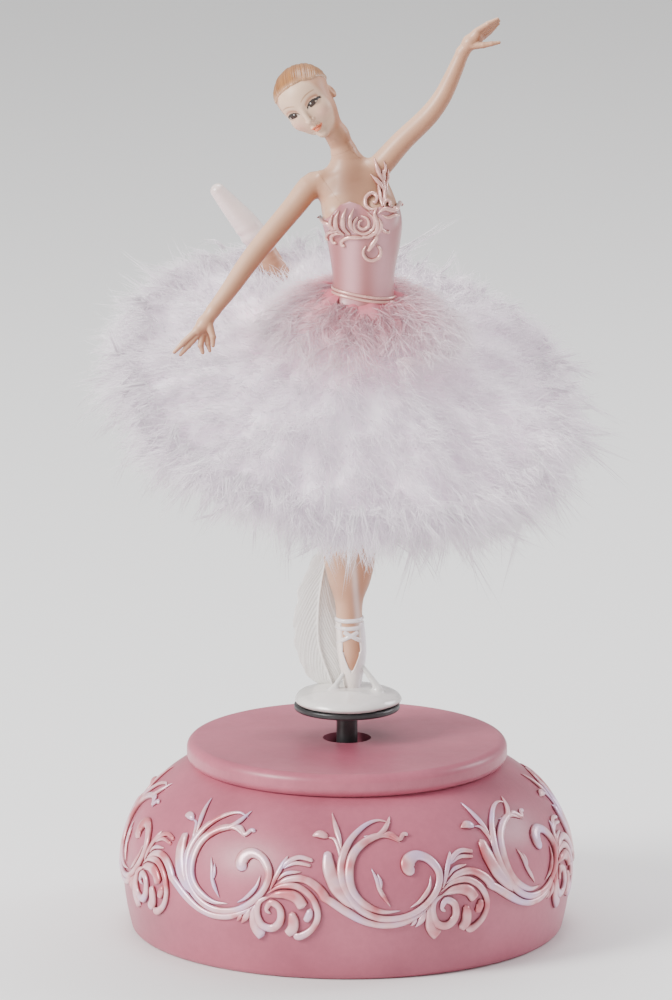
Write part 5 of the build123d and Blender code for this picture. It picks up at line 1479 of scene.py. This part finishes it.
def stray_barbs(rng, down):
    """Loose spikes of barbs stuck together, which stand out of the rim and hang below it."""
    right, back, _ = skirt_axes()
    theta = rng.uniform(0, 2 * math.pi, SPIKES)
    outward = np.cos(theta)[:, None] * right + np.sin(theta)[:, None] * back
    root = on_skirt(rng.uniform(0.86, 0.99, SPIKES) * SKIRT_R, theta, rng.uniform(-5, 4, SPIKES))
    lean = unit(outward + rng.normal(0, 0.42, (SPIKES, 3)) - np.array((0, 0, 0.4)))
    sweep = rng.normal(0, 0.34, (SPIKES, 3)) - np.array((0, 0, 0.3))
    pick = np.repeat(np.arange(SPIKES), BARBS_A_SPIKE)
    count = len(pick)
    lengths = rng.uniform(8, 13.5, SPIKES)[pick] * rng.uniform(0.6, 1.0, count)
    roots = root[pick] + rng.normal(0, 0.35, (count, 3))
    direction = unit(lean[pick] + rng.normal(0, 0.05, (count, 3)))
    bends = sweep[pick] + rng.normal(0, 0.04, (count, 3))
    radii = rng.uniform(0.12, 0.2, count)
    points, faces = barbs(roots, direction, bends, lengths, radii, rng)
    colours = 0.72 * down_colours(points, rng, np.full(len(points), 0.5))
    new_piece("feather_strays", points, faces, FIGURE, down, colours)


PETALS = 9
WAIST = np.array((3.7, -0.1, 159.6))
WAIST_INNER_R = 6.2
WAIST_TUFTS = 620
WAIST_BARBS = 16


def on_waist(reach, angle, share):
    """Points of the frill at the waist: distance from its axis, angle, and share along a petal."""
    out = np.stack([1.05 * reach * np.cos(angle), 0.82 * reach * np.sin(angle), np.zeros_like(reach)], -1)
    drop = 3.2 * share + 0.0145 * (reach - WAIST_INNER_R) ** 2
    out[..., 2] = reach * (0.30 * np.sin(angle) - 0.05 * np.cos(angle)) - drop
    return WAIST + out


def waist_tufts(rng, down):
    """Short rose and pink barbs over the petals, which soften them into the down."""
    angle = rng.uniform(0, 2 * math.pi, WAIST_TUFTS)
    share = rng.uniform(0.08, 1.25, WAIST_TUFTS)
    root = on_waist(WAIST_INNER_R + 14 * share, angle, share)
    ahead = on_waist(WAIST_INNER_R + 14 * share + 2, angle + rng.normal(0, 0.12, WAIST_TUFTS), share)
    lean = unit(ahead - root)
    pick = np.repeat(np.arange(WAIST_TUFTS), WAIST_BARBS)
    count = len(pick)
    roots = root[pick] + rng.normal(0, 0.8, (count, 3)) * np.array((1, 1, 0.5)) - np.array((0, 0, 0.7))
    direction = unit(lean[pick] + rng.normal(0, 0.22, (count, 3)) + np.array((0, 0, 0.12)))
    bends = rng.normal(0, 0.15, (count, 3)) - np.array((0, 0, 0.3))
    lengths = rng.uniform(3.0, 6.5, count)
    points, faces = barbs(roots, direction, bends, lengths, rng.uniform(0.06, 0.12, count), rng)
    reach = np.linalg.norm((points - WAIST)[:, :2], axis=1) + rng.normal(0, 1.5, len(points))
    colours = tinted(plain(DOWN_ROSE, points), DOWN_PINK, (reach - 9.0) / 8.0)
    colours = tinted(colours, DOWN_WHITE, 0.75 * np.clip((reach - 15.0) / 9.0, 0, 1))
    new_piece("waist_down", points, faces, FIGURE, down, colours)


def waist_petals(rng):
    """Rose petals of dyed feather tips that fall from the waist over the down."""
    rows, cols = 40, 25
    parts = []
    for k in range(PETALS):
        theta = 2 * math.pi * (k + 0.25 * rng.random()) / PETALS
        long, wide = rng.uniform(11, 16), rng.uniform(5.4, 7.0)
        t, w = np.meshgrid(np.linspace(0, 1, rows), np.linspace(-1, 1, cols), indexing="ij")
        spread_out = WAIST_INNER_R + long * t * (1 - 0.12 * t)
        tip = np.sqrt(np.clip(1 - (2 * np.clip(t - 0.42, 0, 1) / 1.16) ** 2, 0, 1))
        half = wide * tip * (0.3 + 0.7 * np.minimum(t * 2.2, 1))
        angle = theta + half * w / np.maximum(spread_out, 6)
        fold = 0.8 * np.sin(7.0 * w + k) * t + 0.4 * np.sin(6 * t + 3 * w + k) - 1.2 * t
        place = on_waist(spread_out, angle, t)
        place[..., 2] += fold - 1.3 * w**2 * t + (k % 2) * 0.5
        thick = 0.22 + 0.25 * (1 - t)
        made, quads = closed_sheet(place, place - np.array((0, 0, 1.0)) * thick[..., None] * 2)
        colour = DOWN_ROSE + (DOWN_PINK - DOWN_ROSE) * np.clip(t * 1.1, 0, 1)[..., None]
        colour = colour + (DOWN_WHITE - colour) * (0.5 * t**2.5)[..., None]
        parts.append((made, quads, np.tile(colour.reshape(-1, 3), (2, 1))))
    points, quads, colours = joined(parts)
    s = Shader("pink_petals").set(Sheen_Weight=0.4, Sheen_Roughness=0.4, Specular_IOR_Level=0.25)
    vein = s.noise(0.9, detail=6, distortion=0.6)
    s.colour(s.mix(1.0, s.paint(), s.ramp(vein, (0.3, 0.86), (0.7, 1.0)), "MULTIPLY"))
    s.rough(vein, 0.6, 0.8)
    s.bump(vein, 0.08)
    new_piece("rose_petals", points, quads, FIGURE, s.material, colours, ["waist_petals"])


# ---------------------------------------------------------------- stage


FLOOR_HALF = 3.0
SURROUND = 0.62
LAMP_AIM = (0, 0, 0.11)
# Each lamp: name, place and width in metres, power, tint.
LAMPS = (
    ("key", (-0.95, -0.55, 0.7), 0.5, 23.0, (1.0, 0.985, 0.96)),
    ("rim", (0.9, 0.35, 0.5), 0.4, 5.0, (0.97, 0.95, 1.0)),
    ("top", (0.0, 0.3, 1.2), 0.7, 11.0, (1.0, 1.0, 1.0)),
)


def studio():
    """A pale floor, a white surround, and large soft lamps."""
    mesh = bpy.data.meshes.new("floor")
    corners = [(-FLOOR_HALF, -FLOOR_HALF, 0), (FLOOR_HALF, -FLOOR_HALF, 0)]
    corners += [(FLOOR_HALF, FLOOR_HALF, 0), (-FLOOR_HALF, FLOOR_HALF, 0)]
    mesh.from_pydata(corners, [], [(0, 1, 2, 3)])
    floor = bpy.data.objects.new("floor", mesh)
    bpy.context.scene.collection.objects.link(floor)
    s = Shader("floor_white").set(Roughness=0.9)
    s.colour(s.ramp(s.noise(400, detail=1), (0.0, 0.88), (1.0, 0.9)))
    mesh.materials.append(s.material)
    world = bpy.data.worlds.new("studio")
    world.use_nodes = True
    world.node_tree.nodes["Background"].inputs[0].default_value = (1.0, 0.99, 0.985, 1)
    world.node_tree.nodes["Background"].inputs[1].default_value = SURROUND
    bpy.context.scene.world = world
    for name, place, width, power, tint in LAMPS:
        light = bpy.data.lights.new(name, "AREA")
        light.shape = "DISK"
        light.size = width
        light.energy = power
        light.color = tint
        lamp = bpy.data.objects.new(name, light)
        lamp.location = place
        lamp.rotation_euler = (Vector(LAMP_AIM) - Vector(place)).to_track_quat("-Z", "Y").to_euler()
        bpy.context.scene.collection.objects.link(lamp)


def camera():
    view = bpy.data.cameras.new("camera")
    view.sensor_width = SENSOR
    view.lens = SENSOR * CAMERA_DISTANCE / VIEW_HEIGHT
    view.clip_start, view.clip_end = 0.1, 20
    eye = bpy.data.objects.new("camera", view)
    tilt = math.radians(CAMERA_ELEVATION)
    back = Vector((0, -math.cos(tilt), math.sin(tilt)))
    eye.location = (Vector(CAMERA_TARGET) + CAMERA_DISTANCE * back) * MM
    eye.rotation_euler = (-back).to_track_quat("-Z", "Y").to_euler()
    bpy.context.scene.collection.objects.link(eye)
    bpy.context.scene.camera = eye


def main():
    rng = np.random.default_rng(SEED)
    camera()
    studio()
    finish_cad_nodes()
    scroll_relief()
    skin = painted("skin_resin", (0.38, 0.5), coat=0.15)
    upper_body(skin)
    head()
    standing_leg(skin)
    raised_leg(skin)
    plume()
    plinth()
    bodice_trim()
    down = feather("marabou_feather", DOWN_GLOW)
    skirt_core(rng, down)
    skirt_tufts(rng, down)
    stray_barbs(rng, down)
    waist_petals(rng)
    waist_tufts(rng, feather("rose_feather", ROSE_GLOW))


main()
